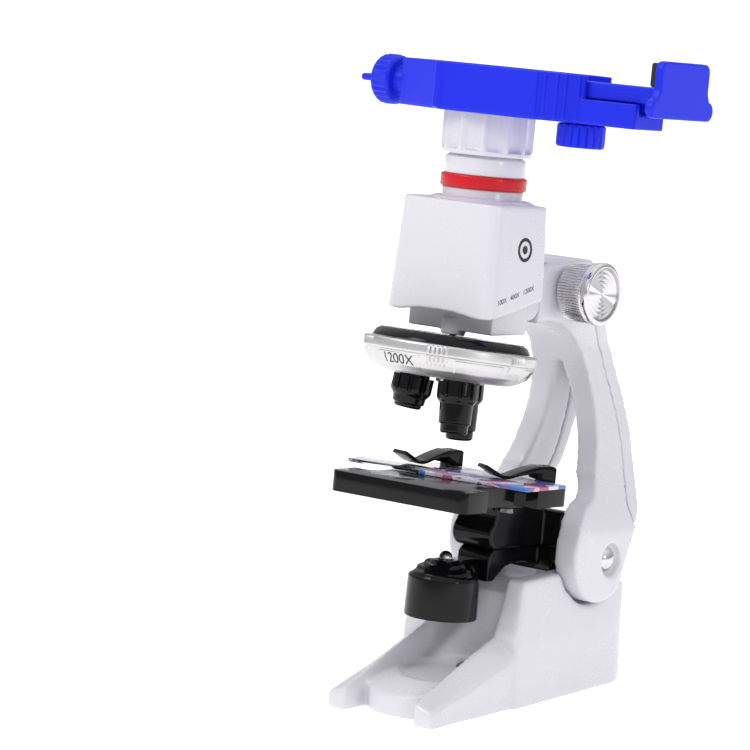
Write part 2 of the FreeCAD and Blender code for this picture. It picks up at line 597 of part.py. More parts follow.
# ---------------------------------------------------------------- head
def make_head():
    front, back = s.head_front, s.head_back
    outer = frustum("head_block", (-s.head_bottom_half, s.head_bottom_half), (front, back),
                    (-s.head_top_half, s.head_top_half), (front + 1.4, back - 0.7), (s.head_bottom - 1, s.head_top))
    outer = rounded("head_corners", outer, 5.0, lambda edge: edge.Length > 30 and edge.CenterOfMass.y < 0
                    and abs(edge.CenterOfMass.x) > 15 and not runs_along(Y)(edge))
    wall = s.head_wall
    room = frustum("head_room", (wall - s.head_bottom_half, s.head_bottom_half - wall), (front + wall, back - wall),
                   (wall - s.head_top_half, s.head_top_half - wall), (front + 1.4 + wall, back - 0.7 - wall),
                   (s.head_bottom - 2, s.head_top - wall))
    skirt = prism("skirt_cut", "YZ", [
        (front - 3, s.head_bottom - 9), (back + 3, s.head_bottom - 9), (back + 3, s.head_bottom + 7.8),
        (front - 3, s.head_bottom - 0.6)], -40, 40)
    arch = prism("arch_cut", "XZ", [
        (-s.head_bottom_half + 3, s.head_bottom - 9), (s.head_bottom_half - 3, s.head_bottom - 9),
        (s.head_bottom_half - 3, s.head_bottom - 0.6),
        ("via", (0, s.head_bottom + 1.8), (-s.head_bottom_half + 3, s.head_bottom - 0.6))], front - 5, front + 8)
    tube_hole = rod("head_tube_hole", "z", (0, 0), s.tube_radius, s.head_top - 10, s.head_top + 5)
    back_slot = box("head_back_slot", (-s.carriage_half - 0.3, s.carriage_half + 0.3), (back - 6, back + 5),
                    (s.head_bottom - 5, s.head_top - 5))
    collar = ring("head_collar", "z", (0, 0), s.tube_radius + 3.2, s.tube_radius, s.head_top - 1.5, s.head_top + 1.0)
    shell = fuse("head_all", cut("head_shell_cut", outer, room, skirt, arch, tube_hole, back_slot), collar)
    piece("head_shell", shell)
    carriage = prism("carriage_side", "YZ", [
        (s.nose_back + 0.1, s.head_bottom - 1.0), (s.arm_head_front - 7, s.head_bottom - 1.0),
        ("via", (s.arm_head_front - 2.2, s.head_bottom + 0.6), (s.arm_head_front - 0.4, s.head_bottom + 5)),
        (s.arm_head_front - 0.4, s.head_top - 14), ("via", (s.arm_head_front - 3, s.head_top - 8.5),
                                                     (s.arm_head_front - 9, s.head_top - 5.4)),
        (s.head_back - wall - 0.2, s.head_top - 5.4), (s.head_back - wall - 0.2, s.head_bottom + 9),
        (s.nose_back + 0.1, s.head_bottom + 9)], -s.carriage_half, s.carriage_half)
    saddle = rod("carriage_saddle", "z", (0, 0), s.tube_radius + 0.05, s.head_bottom - 5, s.head_top + 5)
    piece("focus_carriage", cut("carriage_saddled", carriage, saddle))
    rack_face = s.shaft_back - s.pinion_radius - 0.25
    bar = box("rack_bar", (-3.2, 3.2), (s.arm_head_front - 0.4, rack_face - 1.0), (s.shaft_height - 11.0, s.shaft_height + 9.5))
    pitch = float(s.pinion_radius) * math.tau / 12
    teeth = [box(f"rack_tooth_{index}", (-3.2, 3.2), (rack_face - 1.2, rack_face + 0.3),
                 (s.shaft_height + pitch * (index + 0.5) - 0.4, s.shaft_height + pitch * (index + 0.5) + 0.4))
             for index in range(-5, 4)]
    piece("focus_rack", fuse("rack", bar, *teeth))
    nose = fuse("nose", box("nose_body", (-s.nose_half, s.nose_half), (-s.nose_back, s.nose_back - 3.2), (s.nose_bottom, s.head_bottom + 8)),
                box("nose_shelf", (-s.carriage_half, s.carriage_half), (s.nose_back - 4, s.nose_back), (s.nose_bottom + 1, s.head_bottom + 8)))
    light_way = rod("nose_light", "z", (0, 0), 5.0, s.nose_bottom - 8, s.head_bottom + 12)
    nose_room = box("nose_room", (2.0 - s.nose_half, s.nose_half - 2.0), (2.0 - s.nose_back, s.nose_back - 6), (s.nose_bottom + 2.4, s.head_bottom + 9))
    tube_seat = rod("nose_seat", "z", (0, 0), 7.6, s.nose_bottom + 1, s.head_bottom + 8)
    stud = group("turret_stud", rod("stud", "z", (0, 0), 4.2, s.cap_height + 0.3, s.cap_height + 6.0))
    stud.Placement = TURRET_LEAN.multiply(Placement(TURRET_POINT, Rotation()))
    stud_hole = group("turret_stud_hole", rod("stud_bore", "z", (0, 0), 1.2, s.cap_height - 1, s.cap_height + 5.0))
    stud_hole.Placement = TURRET_LEAN.multiply(Placement(TURRET_POINT, Rotation()))
    nose = cut("nose_finished", fuse("nose_with_stud", cut("nose_hollow", nose, nose_room), tube_seat, stud), light_way, stud_hole)
    piece("nose_block", nose)


# ---------------------------------------------------------------- tube and eyepiece
def make_tube():
    radius, bore = s.tube_radius, s.tube_bore
    tube = turned("tube_body", [
        (bore, s.head_bottom + 8.3), (bore + 1.6, s.head_bottom + 8.3), (bore + 1.6, s.head_top - 8), (radius - 0.05, s.head_top - 8),
        (radius - 0.05, s.ring_low), (radius - 1.2, s.ring_low), (radius - 1.2, s.ring_high), (radius, s.ring_high),
        (radius, s.sleeve_low - 1.2), (radius - 1.5, s.sleeve_low - 0.4), (radius - 1.5, s.tube_top), (bore, s.tube_top)])
    piece("body_tube", tube)
    piece("red_ring", turned("red_band", [
        (radius - 1.15, s.ring_low + 0.02), (s.ring_radius - 0.5, s.ring_low + 0.02), (s.ring_radius, s.ring_low + 0.5),
        (s.ring_radius, s.ring_high - 0.52), (s.ring_radius - 0.5, s.ring_high - 0.02), (radius - 1.15, s.ring_high - 0.02)]))
    outer, inner, count = s.sleeve_radius, s.tube_radius - 1.5 + s.fit_gap, 12
    sleeve = turned("sleeve_body", [
        (inner, s.sleeve_low), (outer - 1.1, s.sleeve_low), (outer - 0.5, s.sleeve_low + 0.8), (outer, s.holder_low),
        (outer, s.sleeve_high - 3), (outer - 1.5, s.sleeve_high), (6.2, s.sleeve_high), (8.4, s.sleeve_high - 3.0),
        (8.4, s.sleeve_high - 5.0), (outer - 3.2, s.sleeve_high - 5.0), (outer - 3.2, s.tube_top + 1.5),
        (inner, s.tube_top + 1.5)])
    flutes = []
    for index in range(count):
        angle = math.tau * index / count
        reach = float(outer) + 3.4
        centre = (reach * math.cos(angle), reach * math.sin(angle))
        flutes.append(rod(f"flute_{index}", "z", centre, 4.0, s.sleeve_low - 1, s.holder_low - 1))
    piece("eyepiece_sleeve", cut("sleeve_fluted", sleeve, *flutes))
    piece("eyepiece_lens", common("eye_lens", rod("eye_disc", "z", (0, 0), 8.35, s.sleeve_high - 5.0 - 2.6, s.sleeve_high - 3.05),
                                  ball("eye_ball", 0, 0, s.sleeve_high - 3.05 - 18, 18)))
    piece("field_lens", common("field_glass", rod("field_disc", "z", (0, 0), s.tube_bore - 0.05, s.tube_top - 4, s.tube_top - 0.5),
                               ball("field_ball", 0, 0, s.tube_top - 0.5 - 24, 24)))


# ---------------------------------------------------------------- turret and objectives
def in_turret(name, item, spin=0.0):
    """Carry a part that was made about the origin onto the leaning turret."""
    holder = group(name, item)
    holder.Placement = TURRET_LEAN.multiply(Placement(TURRET_POINT, Rotation(Z, spin)))
    return holder


def make_turret():
    rim, flat, wall = s.rim_radius, s.bowl_flat, s.bowl_wall
    height, band = s.rim_height, s.rim_band
    bowl = turned("bowl_body", [
        (1.6, 0.0), (flat, 0.0), ("via", (flat + 6.6, 2.2), (rim - 0.8, height - band - 0.6)), (rim, height - band),
        (rim, height), (rim - wall - 0.6, height), (rim - wall - 0.6, height - band + 0.3),
        ("via", (flat + 5.2, 3.6), (flat - 1.0, wall)), (1.6, wall)])
    seats, holes = [], []
    for index in range(3):
        place = about(TURRET_POINT, TURRET_AXIS, 120.0 * index)
        seat_rod = group(f"seat_place_{index}", rod(f"seat_{index}", "z", (0, 0), s.collar_radius + 0.8,
                                                   s.turret_low - 1.8, s.turret_low + 1.0))
        hole_rod = group(f"hole_place_{index}", rod(f"hole_{index}", "z", (0, 0), s.barrel_radius + s.fit_gap,
                                                   s.turret_low - 4, s.turret_low + 6))
        seat_rod.Placement = place
        hole_rod.Placement = place
        seats.append(seat_rod)
        holes.append(hole_rod)
    head_way = in_turret("screw_head_way", rod("head_way", "z", (0, 0), 3.8, -4, -0.02))
    piece("turret_bowl", cut("bowl_bored", fuse("bowl_seated", in_turret("bowl", bowl), *seats), head_way, *holes))
    cap = turned("cap_body", [
        (1.6, s.cap_height - 3.2), (s.rim_radius - s.bowl_wall - 1.0, s.cap_height - 3.2),
        (s.cap_radius + 1.6, s.cap_height - 1.0), (s.cap_radius, s.cap_height), (1.6, s.cap_height)])
    windows = []
    for index in range(3):
        window = group(f"window_place_{index}", rod(f"window_{index}", "z", (0, 0), 5.0, s.turret_low + 6, s.turret_low + 22))
        window.Placement = about(TURRET_POINT, TURRET_AXIS, 120.0 * index)
        windows.append(window)
    detents = [in_turret(f"detent_place_{index}", ball(f"detent_{index}", 0, -21.5, s.cap_height + 0.9, 1.5), 120.0 * index + 60)
               for index in range(3)]
    piece("turret_cap", cut("cap_bored", in_turret("cap", cap), *windows, *detents))
    screw = turned("turret_screw_body", [
        (0.0, -1.5), (3.2, -1.5), (3.6, -0.9), (3.6, -0.05), (1.15, -0.05), (1.15, s.cap_height + 4.6), (0.0, s.cap_height + 4.6)])
    piece("turret_screw", in_turret("turret_screw_place", screw))
    for index, (word, tip) in enumerate((("1200", s.tip_long), ("100", s.tip_short), ("400", s.tip_middle))):
        place = about(TURRET_POINT, TURRET_AXIS, 120.0 * index)
        top, collar, barrel = s.turret_low - 1.85, s.collar_radius, s.barrel_radius
        below = top - s.collar_length
        objective = turned("objective_body_" + word, [
            (2.2, tip + 1.2), (1.6, tip), (barrel - 1.3, tip), (barrel - 0.8, tip + 0.8), (barrel - 0.8, tip + 3.0),
            (barrel, tip + 3.2), (barrel + 0.3, below - 1.6), (collar - 0.6, below), (collar, below + 0.6), (collar, top),
            (barrel, top), (barrel, s.turret_low + 4.5), (3.4, s.turret_low + 4.5), (3.4, tip + 3.4), (2.2, tip + 3.4)])
        flutes = [rod(f"collar_flute_{word}_{count}", "z",
                      ((float(collar) + 0.75) * math.cos(math.tau * count / 10), (float(collar) + 0.75) * math.sin(math.tau * count / 10)),
                      1.5, below + 0.4, top + 1) for count in range(10)]
        piece("objective_" + word, cut("objective_" + word + "_fluted", objective, *flutes), ARM.multiply(place))
        lens = rod("lens_glass_" + word, "z", (0, 0), 2.15, tip + 1.3, tip + 2.9)
        piece("lens_" + word, lens, ARM.multiply(place))


# ---------------------------------------------------------------- stage, slide and clips
def make_stage():
    half, front, back = s.stage_half, s.stage_front, s.stage_back
    low, top = s.stage_top - s.stage_thick, s.stage_top
    plate = rounded("stage_corners", box("stage_block", (-half, half), (front, back), (low, top)), 3.6, runs_along(Z))
    notches = [prism("notch_" + word, "XY", [
        (side * (half + 2), s.notch_front), (side * (half - s.notch_depth + 2.5), s.notch_front),
        (side * (half - s.notch_depth), s.notch_front + 3.5), (side * (half - s.notch_depth), s.notch_back - 3.5),
        (side * (half - s.notch_depth + 2.5), s.notch_back), (side * (half + 2), s.notch_back)], low - 1, top + 1)
        for word, side in (("right", 1), ("left", -1))]
    room = box("stage_room", (-half + 10, half - 10), (front + 3, back - 3), (low - 1, top - 2.4))
    aperture = rod("stage_aperture", "z", (0, 0), s.stage_hole, low - 2, top + 2)
    boss = rod("stage_boss", "z", (0, 0), s.stage_hole + 2.2, low + 0.2, top - 1)
    posts = [rod("clip_hole_" + word, "z", (side * s.clip_x, s.clip_y), 1.6, low - 2, top + 2)
             for word, side in (("right", 1), ("left", -1))]
    bosses = [rod("clip_boss_" + word, "z", (side * s.clip_x, s.clip_y), 3.6, low + 0.2, top - 1)
              for word, side in (("right", 1), ("left", -1))]
    for index, (x, y) in enumerate(stage_screw_places()):
        bosses.append(rod(f"stage_screw_boss_{index}", "z", (x, y), 3.0, low, top - 1))
        posts.append(rod(f"stage_screw_hole_{index}", "z", (x, y), 1.25, low - 2, low + 5))
    hollow = cut("stage_hollow", cut("stage_notched", plate, *notches), room)
    stage = cut("stage_done", fuse("stage_bossed", hollow, boss, *bosses), aperture, *posts)
    piece("stage", stage)
    spin = about(Vector(0, float(s.slide_back), 0), Z, float(s.slide_turn))
    glass = box("slide_glass", (s.slide_shift - s.slide_length / 2, s.slide_length / 2 + s.slide_shift),
                (s.slide_back - s.slide_width / 2, s.slide_back + s.slide_width / 2), (top + 0.02, top + 0.02 + s.slide_thick))
    holder = group("slide_turned", rounded("slide_corners", glass, 1.2, runs_along(Z)))
    holder.Placement = spin
    piece("specimen_slide", holder)
    slide_top = top + 0.02 + s.slide_thick
    for word, side, turn in (("right", 1, -s.clip_right_turn.number), ("left", -1, -s.clip_left_turn.number)):
        width = s.clip_width
        arm = prism("clip_arm_" + word, "YZ", [
            (3.6, top + 0.3), (3.6, slide_top + 4.4), (2.6, slide_top + 5.0), (-3.4, slide_top + 4.9),
            ("via", (-8.4, slide_top + 3.5), (-13.0, slide_top + 1.75)),
            ("via", (-16.0, slide_top + 1.35), (-19.0, slide_top + 2.3)), (4.4 - s.clip_reach, slide_top + 4.8),
            (3.6 - s.clip_reach, slide_top + 3.7), (-19.4, slide_top + 0.95),
            ("via", (-16.2, slide_top + 0.15), (-13.2, slide_top + 0.5)),
            ("via", (-8.8, slide_top + 1.7), (-4.4, slide_top + 2.2)), (-3.4, slide_top + 0.3),
            (-1.0, slide_top + 0.3), (-1.0, top + 0.3)], -width / 2, width / 2)
        ribs = [box(f"clip_rib_{word}_{count}", (-width / 2 - 1, width / 2 + 1), (1.9 - 1.5 * count, 2.6 - 1.5 * count), (slide_top + 4.3, slide_top + 7))
                for count in range(3)]
        stem = rod("clip_stem_" + word, "z", (0, 0), 1.55, low_of_stage() - 0.8, top + 1)
        holder = group("clip_place_" + word, fuse("clip_" + word + "_all", cut("clip_ribbed_" + word, arm, *ribs), stem))
        holder.Placement = Placement(Vector(side * float(s.clip_x), float(s.clip_y), 0), Rotation(Z, turn))
        piece("clip_" + word, holder)


def low_of_stage():
    return s.stage_top - s.stage_thick


def stage_screw_places():
    return [(side * 11.5, 17.0) for side in (-1, 1)]


# ---------------------------------------------------------------- bracket and lamp
def make_lamp():
    low = low_of_stage() - 0.02
    half = s.lobe_inner - 0.1
    panel_back, panel_front = s.pivot_back - s.lug_radius - 1.2, s.pivot_back - s.lug_radius - 6.4
    panel = fuse("bracket_panel", box("panel_low", (-half, half), (panel_front, panel_back), (50.5, 56.0)),
                 box("panel_high", (1.8 - half, half - 1.8), (panel_front, panel_back), (55.0, 64.0)))
    neck = prism("bracket_neck", "YZ", [
        (panel_back, 50.5), (panel_back, 64.0), ("via", (37.0, 65.6), (30.0, low)), (8.0, low), (8.0, low - 2.6),
        (14.6, low - 2.6), ("via", (15.6, 62.6), (14.2, 59.0)), ("via", (13.6, 52.6), (19.4, 50.5))], -8.4, 8.4)
    saddle = box("bracket_saddle", (-15.0, 15.0), (12.4, 22.0), (low - 2.6, low))
    ways = [rod(f"bracket_hole_{index}", "z", (x, y), 1.25, low - 8, low + 2)
            for index, (x, y) in enumerate(stage_screw_places())]
    piece("stage_bracket", cut("bracket", fuse("bracket_solid", panel, neck, saddle), *ways))
    screws = [fuse(f"stage_screw_{index}", rod(f"stage_shank_{index}", "z", (x, y), 1.2, low - 3.6, low + 4.4),
                   cone(f"stage_head_{index}", "z", (x, y), 2.4, 2.0, low - 4.2, low - 2.62))
              for index, (x, y) in enumerate(stage_screw_places())]
    piece("stage_screws", group("stage_fixings", *screws))
    axis, wide = s.lamp_axis, s.lamp_arm_half
    swoop = prism("lamp_arm_side", "YZ", [
        ("via", (37.0, axis + 2.6), (panel_back, 42.6)), (panel_back, 50.4), (20.0, 50.4),
        ("via", (16.6, 49.0), (15.6, 46.0)), (15.6, axis - 3.4), (19.0, axis - 3.4),
        ("via", (22.0, axis - 1.2), (26.0, axis + 1.6))], -wide, wide)
    web_low = box("lamp_web_low", (0.4 - s.valley_half, s.valley_half - 0.4), (panel_front, panel_back), (41.6, 50.4))
    web_high = box("lamp_web_high", (-half, half), (panel_front, panel_back), (45.4, 50.4))
    lamp_arm = fuse("lamp_arm_solid", swoop, web_low, web_high)
    bore = rod("lamp_arm_bore", "y", (0, axis), s.axle_radius + s.fit_gap, 10, 24.0)
    piece("lamp_arm", cut("lamp_arm_bored", lamp_arm, bore))
    radius, foot, shoulder = s.cup_radius, s.cup_low, s.cup_shoulder
    cup = turned("cup_body", [
        (radius - 2.0, foot + 0.02), (radius - 0.5, foot + 0.02), (radius, foot + 0.6), (radius - 0.25, shoulder), (radius - 1.2, shoulder + 1.2), (radius - 3.2, shoulder + 1.6),
        (radius - 3.2, shoulder + 3.0), (radius - 4.0, shoulder + 3.6), (radius - 6.0, shoulder + 3.8), (radius - 6.0, shoulder + 5.0),
        (radius - 6.6, shoulder + 5.6), (s.led_radius + 0.1, shoulder + 5.8), (s.led_radius + 0.1, shoulder + 1.0),
        (radius - 4.2, shoulder - 0.4), (radius - 2.2, shoulder - 2.0), (radius - 2.0, foot + 3.0)])
    in_place = group("cup_place", cup)
    in_place.Placement = Placement(Vector(0, -1, 0), Rotation())
    axle = rod("cup_axle", "y", (0, axis), s.axle_radius, radius - 2.2, 23.0)
    flange = rod("cup_flange", "y", (0, axis), 3.8, radius - 2.2, 15.2)
    piece("lamp_cup", fuse("cup", in_place, axle, flange))
    dome = fuse("led_lens", rod("led_barrel", "z", (0, -1), s.led_radius, s.cup_shoulder + 1.4, s.led_top - s.led_radius),
                ball("led_dome", 0, -1, s.led_top - s.led_radius, s.led_radius),
                rod("led_rim", "z", (0, -1), s.led_radius + 0.05, s.cup_shoulder + 1.1, s.cup_shoulder + 2.0))
    piece("led", dome)
    piece("led_board", ring("board", "z", (0, -1), 7.6, 0.8, shoulder - 2.2, shoulder - 0.9))
    piece("mirror", rod("mirror_glass", "z", (0, -1), radius - 2.05, foot + 0.5, foot + 2.0))


# ---------------------------------------------------------------- phone holder
def make_holder():
    low, high, half = s.holder_low, s.holder_high, s.holder_half
    left, right, wall = s.holder_left, s.holder_right, s.holder_wall
    plan = [(left, -8.0), (-9.0, -half), (right - 14.0, -half), (right, -8.0), (right, 8.0), (right - 14.0, half), (-9.0, half), (left, 8.0)]
    inner = [(left + wall, wall - 9.0), (wall - 10.0, wall - half), (right - 14.5 - wall, wall - half), (right - 17.0, wall - 9.0),
             (right - 17.0, 9.0 - wall), (right - 14.5 - wall, half - wall), (wall - 10.0, half - wall), (left + wall, 9.0 - wall)]
    body = prism("holder_outside", "XY", plan, low, high)
    room = prism("holder_room", "XY", inner, low + 2.4, high + 1)
    opening = rod("holder_opening", "z", (0, 0), s.sleeve_radius + 1.0, low - 1, high + 1)
    way = box("holder_floor_slot", (s.jaw_back, 0), (-10.0, 10.0), (low - 1, low + 3))
    channel = box("bar_channel", (right - 18, right + 2), (-6.3, 6.3), (low + 8.5, high + 1))
    keel_way = box("keel_way", (right - 18, right + s.tail_length - 3), (-2.1, 2.1), (low + 5.1, low + 9))
    tail = box("holder_tail", (right - 1, right + s.tail_length), (-9.0, 9.0), (low, low + 5.2))
    rails = [box("tail_rail_" + word, (right - 1, right + s.tail_length), (a, b), (low + 5.0, low + 8.5))
             for word, a, b in (("front", -9.0, -6.4), ("back", 6.4, 9.0))]
    vee = prism("fixed_vee", "XY", [(s.sleeve_radius + 10, -15.5), (s.sleeve_radius * 0.38, -15.5), (s.sleeve_radius * 1.42, 0),
                                    (s.sleeve_radius * 0.38, 15.5), (s.sleeve_radius + 10, 15.5)], low + 2.0, high - 2)
    vee_clear = rod("vee_clear", "z", (0, 0), s.sleeve_radius + 0.2, low - 1, high + 1)
    screw_hole = rod("screw_hole", "x", (0, (low + high) / 2), 3.3, left - 2, left + wall + 4)
    lock_hole = rod("lock_hole", "z", (s.lock_right, 0), 1.85, low - 1, low + 6)
    ribs = [rod(f"facet_rib_{index}", "z", (right - 14.0 + 14.0 * share, (half - 8.0) * share - half), 0.75, low + 0.6, high)
            for index, share in enumerate((0.06, 0.22, 0.46, 0.62, 0.88))]
    post = rod("corner_post", "z", (-9.6, 0.6 - half), 1.9, low + 0.6, high)
    solid = fuse("holder_body", cut("holder_hollow", body, room), tail, *rails, vee, *ribs, post)
    piece_cuts = (opening, vee_clear, way, channel, keel_way, screw_hole, lock_hole)
    holder = cut("holder", solid, *piece_cuts)
    piece("holder_frame", holder)
    back, tips, grip = s.jaw_back, -s.sleeve_radius * 0.45, -s.sleeve_radius * 1.414 - 0.3
    jaw_plan = [(back, -6.2), (-s.sleeve_radius, -10.2), (tips, -13.2), (grip, 0), (tips, 13.2),
                (-s.sleeve_radius, 10.2), (back, 6.2)]
    jaw = cut("jaw", prism("jaw_plan", "XY", jaw_plan, low + 2.8, high - 1.5),
              rod("jaw_clear", "z", (0, 0), s.sleeve_radius + 0.2, low, high))
    piece("clamp_jaw", jaw)
    middle = (0, (low + high) / 2)
    end = left - 6.5
    level = (low + high) / 2
    knob = fuse("screw", rod("screw_thread", "x", middle, 3.0, end, s.jaw_back - 0.1),
                rod("screw_collar", "x", middle, 5.2, left - 5.4, left - 0.4),
                rod("screw_disc", "x", middle, s.screw_knob_radius, end - 6.5, end + 1.2),
                box("screw_wing", (end - 12.5, end - 6), (-s.screw_knob_radius * 0.85, s.screw_knob_radius * 0.85),
                    (level - 1.3, level + 1.3)))
    piece("clamp_screw", knob)
    face, wide, narrow = s.end_jaw_face, s.end_jaw_half, s.end_jaw_half - 4.2
    bar = fuse("bar", box("bar_rail", (right - 10, face - 1.5), (-6.0, 6.0), (low + 8.8, low + 14.6)),
               box("bar_keel", (right - 10, face - 6), (-1.8, 1.8), (low + 5.6, low + 9.0)))
    base, top = low + 4.6, high + 7.4
    jaw_plate = prism("end_jaw_plate", "YZ", [
        (3.0 - wide, base), ("via", (-wide, base + 3.2), (3.0 - wide, base + 6.6)), (-narrow, base + 9.4),
        (-narrow, top - 3.4), ("via", (0.9 - narrow, top - 0.9), (3.2 - narrow, top)), (narrow - 3.2, top),
        ("via", (narrow - 0.9, top - 0.9), (narrow, top - 3.4)), (narrow, base + 9.4), (wide - 3.0, base + 6.6),
        ("via", (wide, base + 3.2), (wide - 3.0, base))], face - 3.0, face)
    grooves = [box(f"bar_groove_{index}", (right + 8, face - 8), (-7, -5.3), (low + 10.0 + 1.5 * index, low + 10.7 + 1.5 * index))
               for index in range(3)]
    piece("slide_bar", cut("slide_bar_grooved", fuse("slide_bar_all", bar, jaw_plate), *grooves))
    pad = box("pad_block", (face - 5.6, face - 3.02), (1.4 - narrow, narrow - 1.4), (low + 14.8, top - 0.8))
    piece("jaw_pad", rounded("pad_corners", pad, 1.2, runs_along(X)))
    lock_x = s.lock_right
    lock = fuse("lock", rod("lock_grip", "z", (lock_x, 0), s.lock_knob_radius, low - 8.4, low - 0.3),
                rod("lock_stud", "z", (lock_x, 0), 1.8, low - 1, low + 5.4))
    piece("lock_knob", lock)


for make in (make_base, make_base_inside, make_arm, make_focus, make_head, make_tube, make_turret, make_stage,
             make_lamp, make_holder):
    make()

doc.recompute()
failed = [item.Label for item in doc.Objects if {"Invalid", "Error"} & set(item.State)]
if failed:
    raise SystemExit("failed: " + ", ".join(failed))
os.makedirs("parts", exist_ok=True)
for item in pieces:
    if item.Shape.isNull() or not item.Shape.isValid():
        raise SystemExit(f"{item.Label} has no valid shape")
    item.Shape.exportStep(f"parts/{item.Label}.step")
    print(f"{item.Label:24s} {len(item.Shape.Solids)} solids {item.Shape.Volume:10.1f} mm3")
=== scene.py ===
"""A toy microscope: moulded pieces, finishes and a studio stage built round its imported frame.

Metres.  Pieces of the arm group are shaped upright, in millimetres, and laid back with the arm.
"""
import json
import math

import bmesh
import bpy
from bpy.props import FloatProperty, FloatVectorProperty, IntProperty, PointerProperty, StringProperty
from mathutils import Matrix, Vector
from mathutils.bvhtree import BVHTree


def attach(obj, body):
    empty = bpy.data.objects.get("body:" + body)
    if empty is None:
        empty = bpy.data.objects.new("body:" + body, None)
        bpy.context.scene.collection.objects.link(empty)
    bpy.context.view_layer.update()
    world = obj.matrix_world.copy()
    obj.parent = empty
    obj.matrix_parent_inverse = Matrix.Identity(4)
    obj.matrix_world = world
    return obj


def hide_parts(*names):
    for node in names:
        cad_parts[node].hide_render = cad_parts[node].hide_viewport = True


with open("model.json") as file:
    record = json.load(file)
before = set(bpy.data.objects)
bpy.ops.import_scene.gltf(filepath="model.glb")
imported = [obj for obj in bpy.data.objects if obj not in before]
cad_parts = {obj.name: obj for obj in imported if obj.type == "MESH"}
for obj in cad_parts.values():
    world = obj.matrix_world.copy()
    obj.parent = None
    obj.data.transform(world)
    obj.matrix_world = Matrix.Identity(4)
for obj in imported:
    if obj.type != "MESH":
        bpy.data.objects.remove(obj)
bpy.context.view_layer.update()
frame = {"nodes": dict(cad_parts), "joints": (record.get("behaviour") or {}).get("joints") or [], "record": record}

bl_info = {
    "name": "Toy microscope",
    "version": (1, 0, 0),
    "blender": (4, 5, 0),
    "location": "View3D > Sidebar > Microscope",
    "description": "Builds the finished pieces of a toy microscope round its frame",
    "category": "Object",
}

MM = 0.001
JOINTS = {joint["name"]: joint for joint in frame["joints"]}
BODY_OF = {node: body for body, nodes in frame["record"]["behaviour"]["bodies"].items() for node in nodes}
SLOT_OF = {row["node"]: row["material_slot"] for row in frame["record"]["subparts"]}


# ---------------------------------------------------------------- the arm's own frame
def arm_place():
    """From upright millimetres to the leaning arm in metres."""
    pivot = Vector(JOINTS["arm_tilt"]["pos_m"])
    up = Vector(JOINTS["head_slide"]["axis"])
    lean = Matrix.Rotation(-math.atan2(up.y, up.z), 4, "X")
    return Matrix.Translation(pivot) @ lean @ Matrix.Translation(-pivot) @ Matrix.Scale(MM, 4)


ARM = arm_place()
GROUND = Matrix.Scale(MM, 4)


def upright(node, place=ARM):
    """Lowest and highest corner of a node in a piece's own millimetres."""
    back = place.inverted()
    points = [back @ vertex.co for vertex in frame["nodes"][node].data.vertices]
    return (Vector(map(min, zip(*points))), Vector(map(max, zip(*points))))


# ---------------------------------------------------------------- shader expressions
class Value:
    """A socket on which Python's operators add Math nodes."""

    def __init__(self, recipe, socket):
        self.recipe, self.socket = recipe, socket

    def work(self, operation, *values):
        return self.recipe.make("ShaderNodeMath", {"operation": operation}, *values)

    def __add__(self, other):
        return self.work("ADD", self, other)

    __radd__ = __add__

    def __sub__(self, other):
        return self.work("SUBTRACT", self, other)

    def __mul__(self, other):
        return self.work("MULTIPLY", self, other)

    __rmul__ = __mul__


class Recipe:
    """One material, with a Principled shader and the nodes that feed it."""

    def __init__(self, name):
        self.material = bpy.data.materials.new(name)
        self.material.use_nodes = True
        self.tree = self.material.node_tree
        self.shader = self.tree.nodes["Principled BSDF"]
        self.place = Value(self, self.tree.nodes.new("ShaderNodeTexCoord").outputs["Object"])

    def make(self, kind, settings, *values, output=0, **named):
        """Add a node: its settings first, then the values or links of its sockets."""
        node = self.tree.nodes.new(kind)
        for setting, value in settings.items():
            setattr(node, setting, value)
        sockets = dict(enumerate(values))
        sockets.update({name.replace("_", " "): value for name, value in named.items()})
        for key, value in sockets.items():
            self.feed(node.inputs[key], value)
        return Value(self, node.outputs[output])

    def feed(self, socket, value):
        if isinstance(value, Value):
            self.tree.links.new(value.socket, socket)
        else:
            socket.default_value = value

    def set(self, **sockets):
        for name, value in sockets.items():
            self.feed(self.shader.inputs[name.replace("_", " ")], value)

    def noise(self, scale, detail=2.0, roughness=0.5):
        return self.make("ShaderNodeTexNoise", {}, Vector=self.place, Scale=scale, Detail=detail,
                         Roughness=roughness)

    def mix(self, factor, first, second):
        node = self.tree.nodes.new("ShaderNodeMix")
        node.data_type = "RGBA"
        for socket, value in ((0, factor), (6, first), (7, second)):
            self.feed(node.inputs[socket], value)
        return Value(self, node.outputs[2])

    def bump(self, height, distance, strength=1.0):
        self.set(Normal=self.make("ShaderNodeBump", {}, Height=height, Distance=distance, Strength=strength))


def shade(colour, factor):
    return (*(channel * factor for channel in colour[:3]), 1.0)


FINISHES = {}


def moulded(name, colour, roughness, depth=0.00002, coat=0.0, shine=0.5):
    """Moulded plastic: faint flow shading, uneven gloss and a fine skin."""
    recipe = Recipe(name)
    flow = recipe.noise(28.0, 3.0)
    skin = recipe.noise(1600.0, 2.0)
    recipe.set(Base_Color=recipe.mix(flow, shade(colour, 0.94), shade(colour, 1.0)),
               Roughness=roughness + 0.10 * recipe.noise(90.0, 4.0) * skin, Coat_Weight=coat,
               Coat_Roughness=0.08, Specular_IOR_Level=shine)
    recipe.bump(skin, depth, 0.3)
    FINISHES[name] = recipe.material


def metal(name, colour, roughness):
    """Plated or bare metal with fine grain and faint smears."""
    recipe = Recipe(name)
    grain = recipe.noise(1400.0, 3.0)
    smear = recipe.noise(60.0, 4.0)
    recipe.set(Base_Color=recipe.mix(smear, shade(colour, 0.9), shade(colour, 1.0)), Metallic=1.0,
               Roughness=roughness + 0.08 * smear + 0.05 * grain)
    recipe.bump(grain, 0.00001, 0.4)
    FINISHES[name] = recipe.material


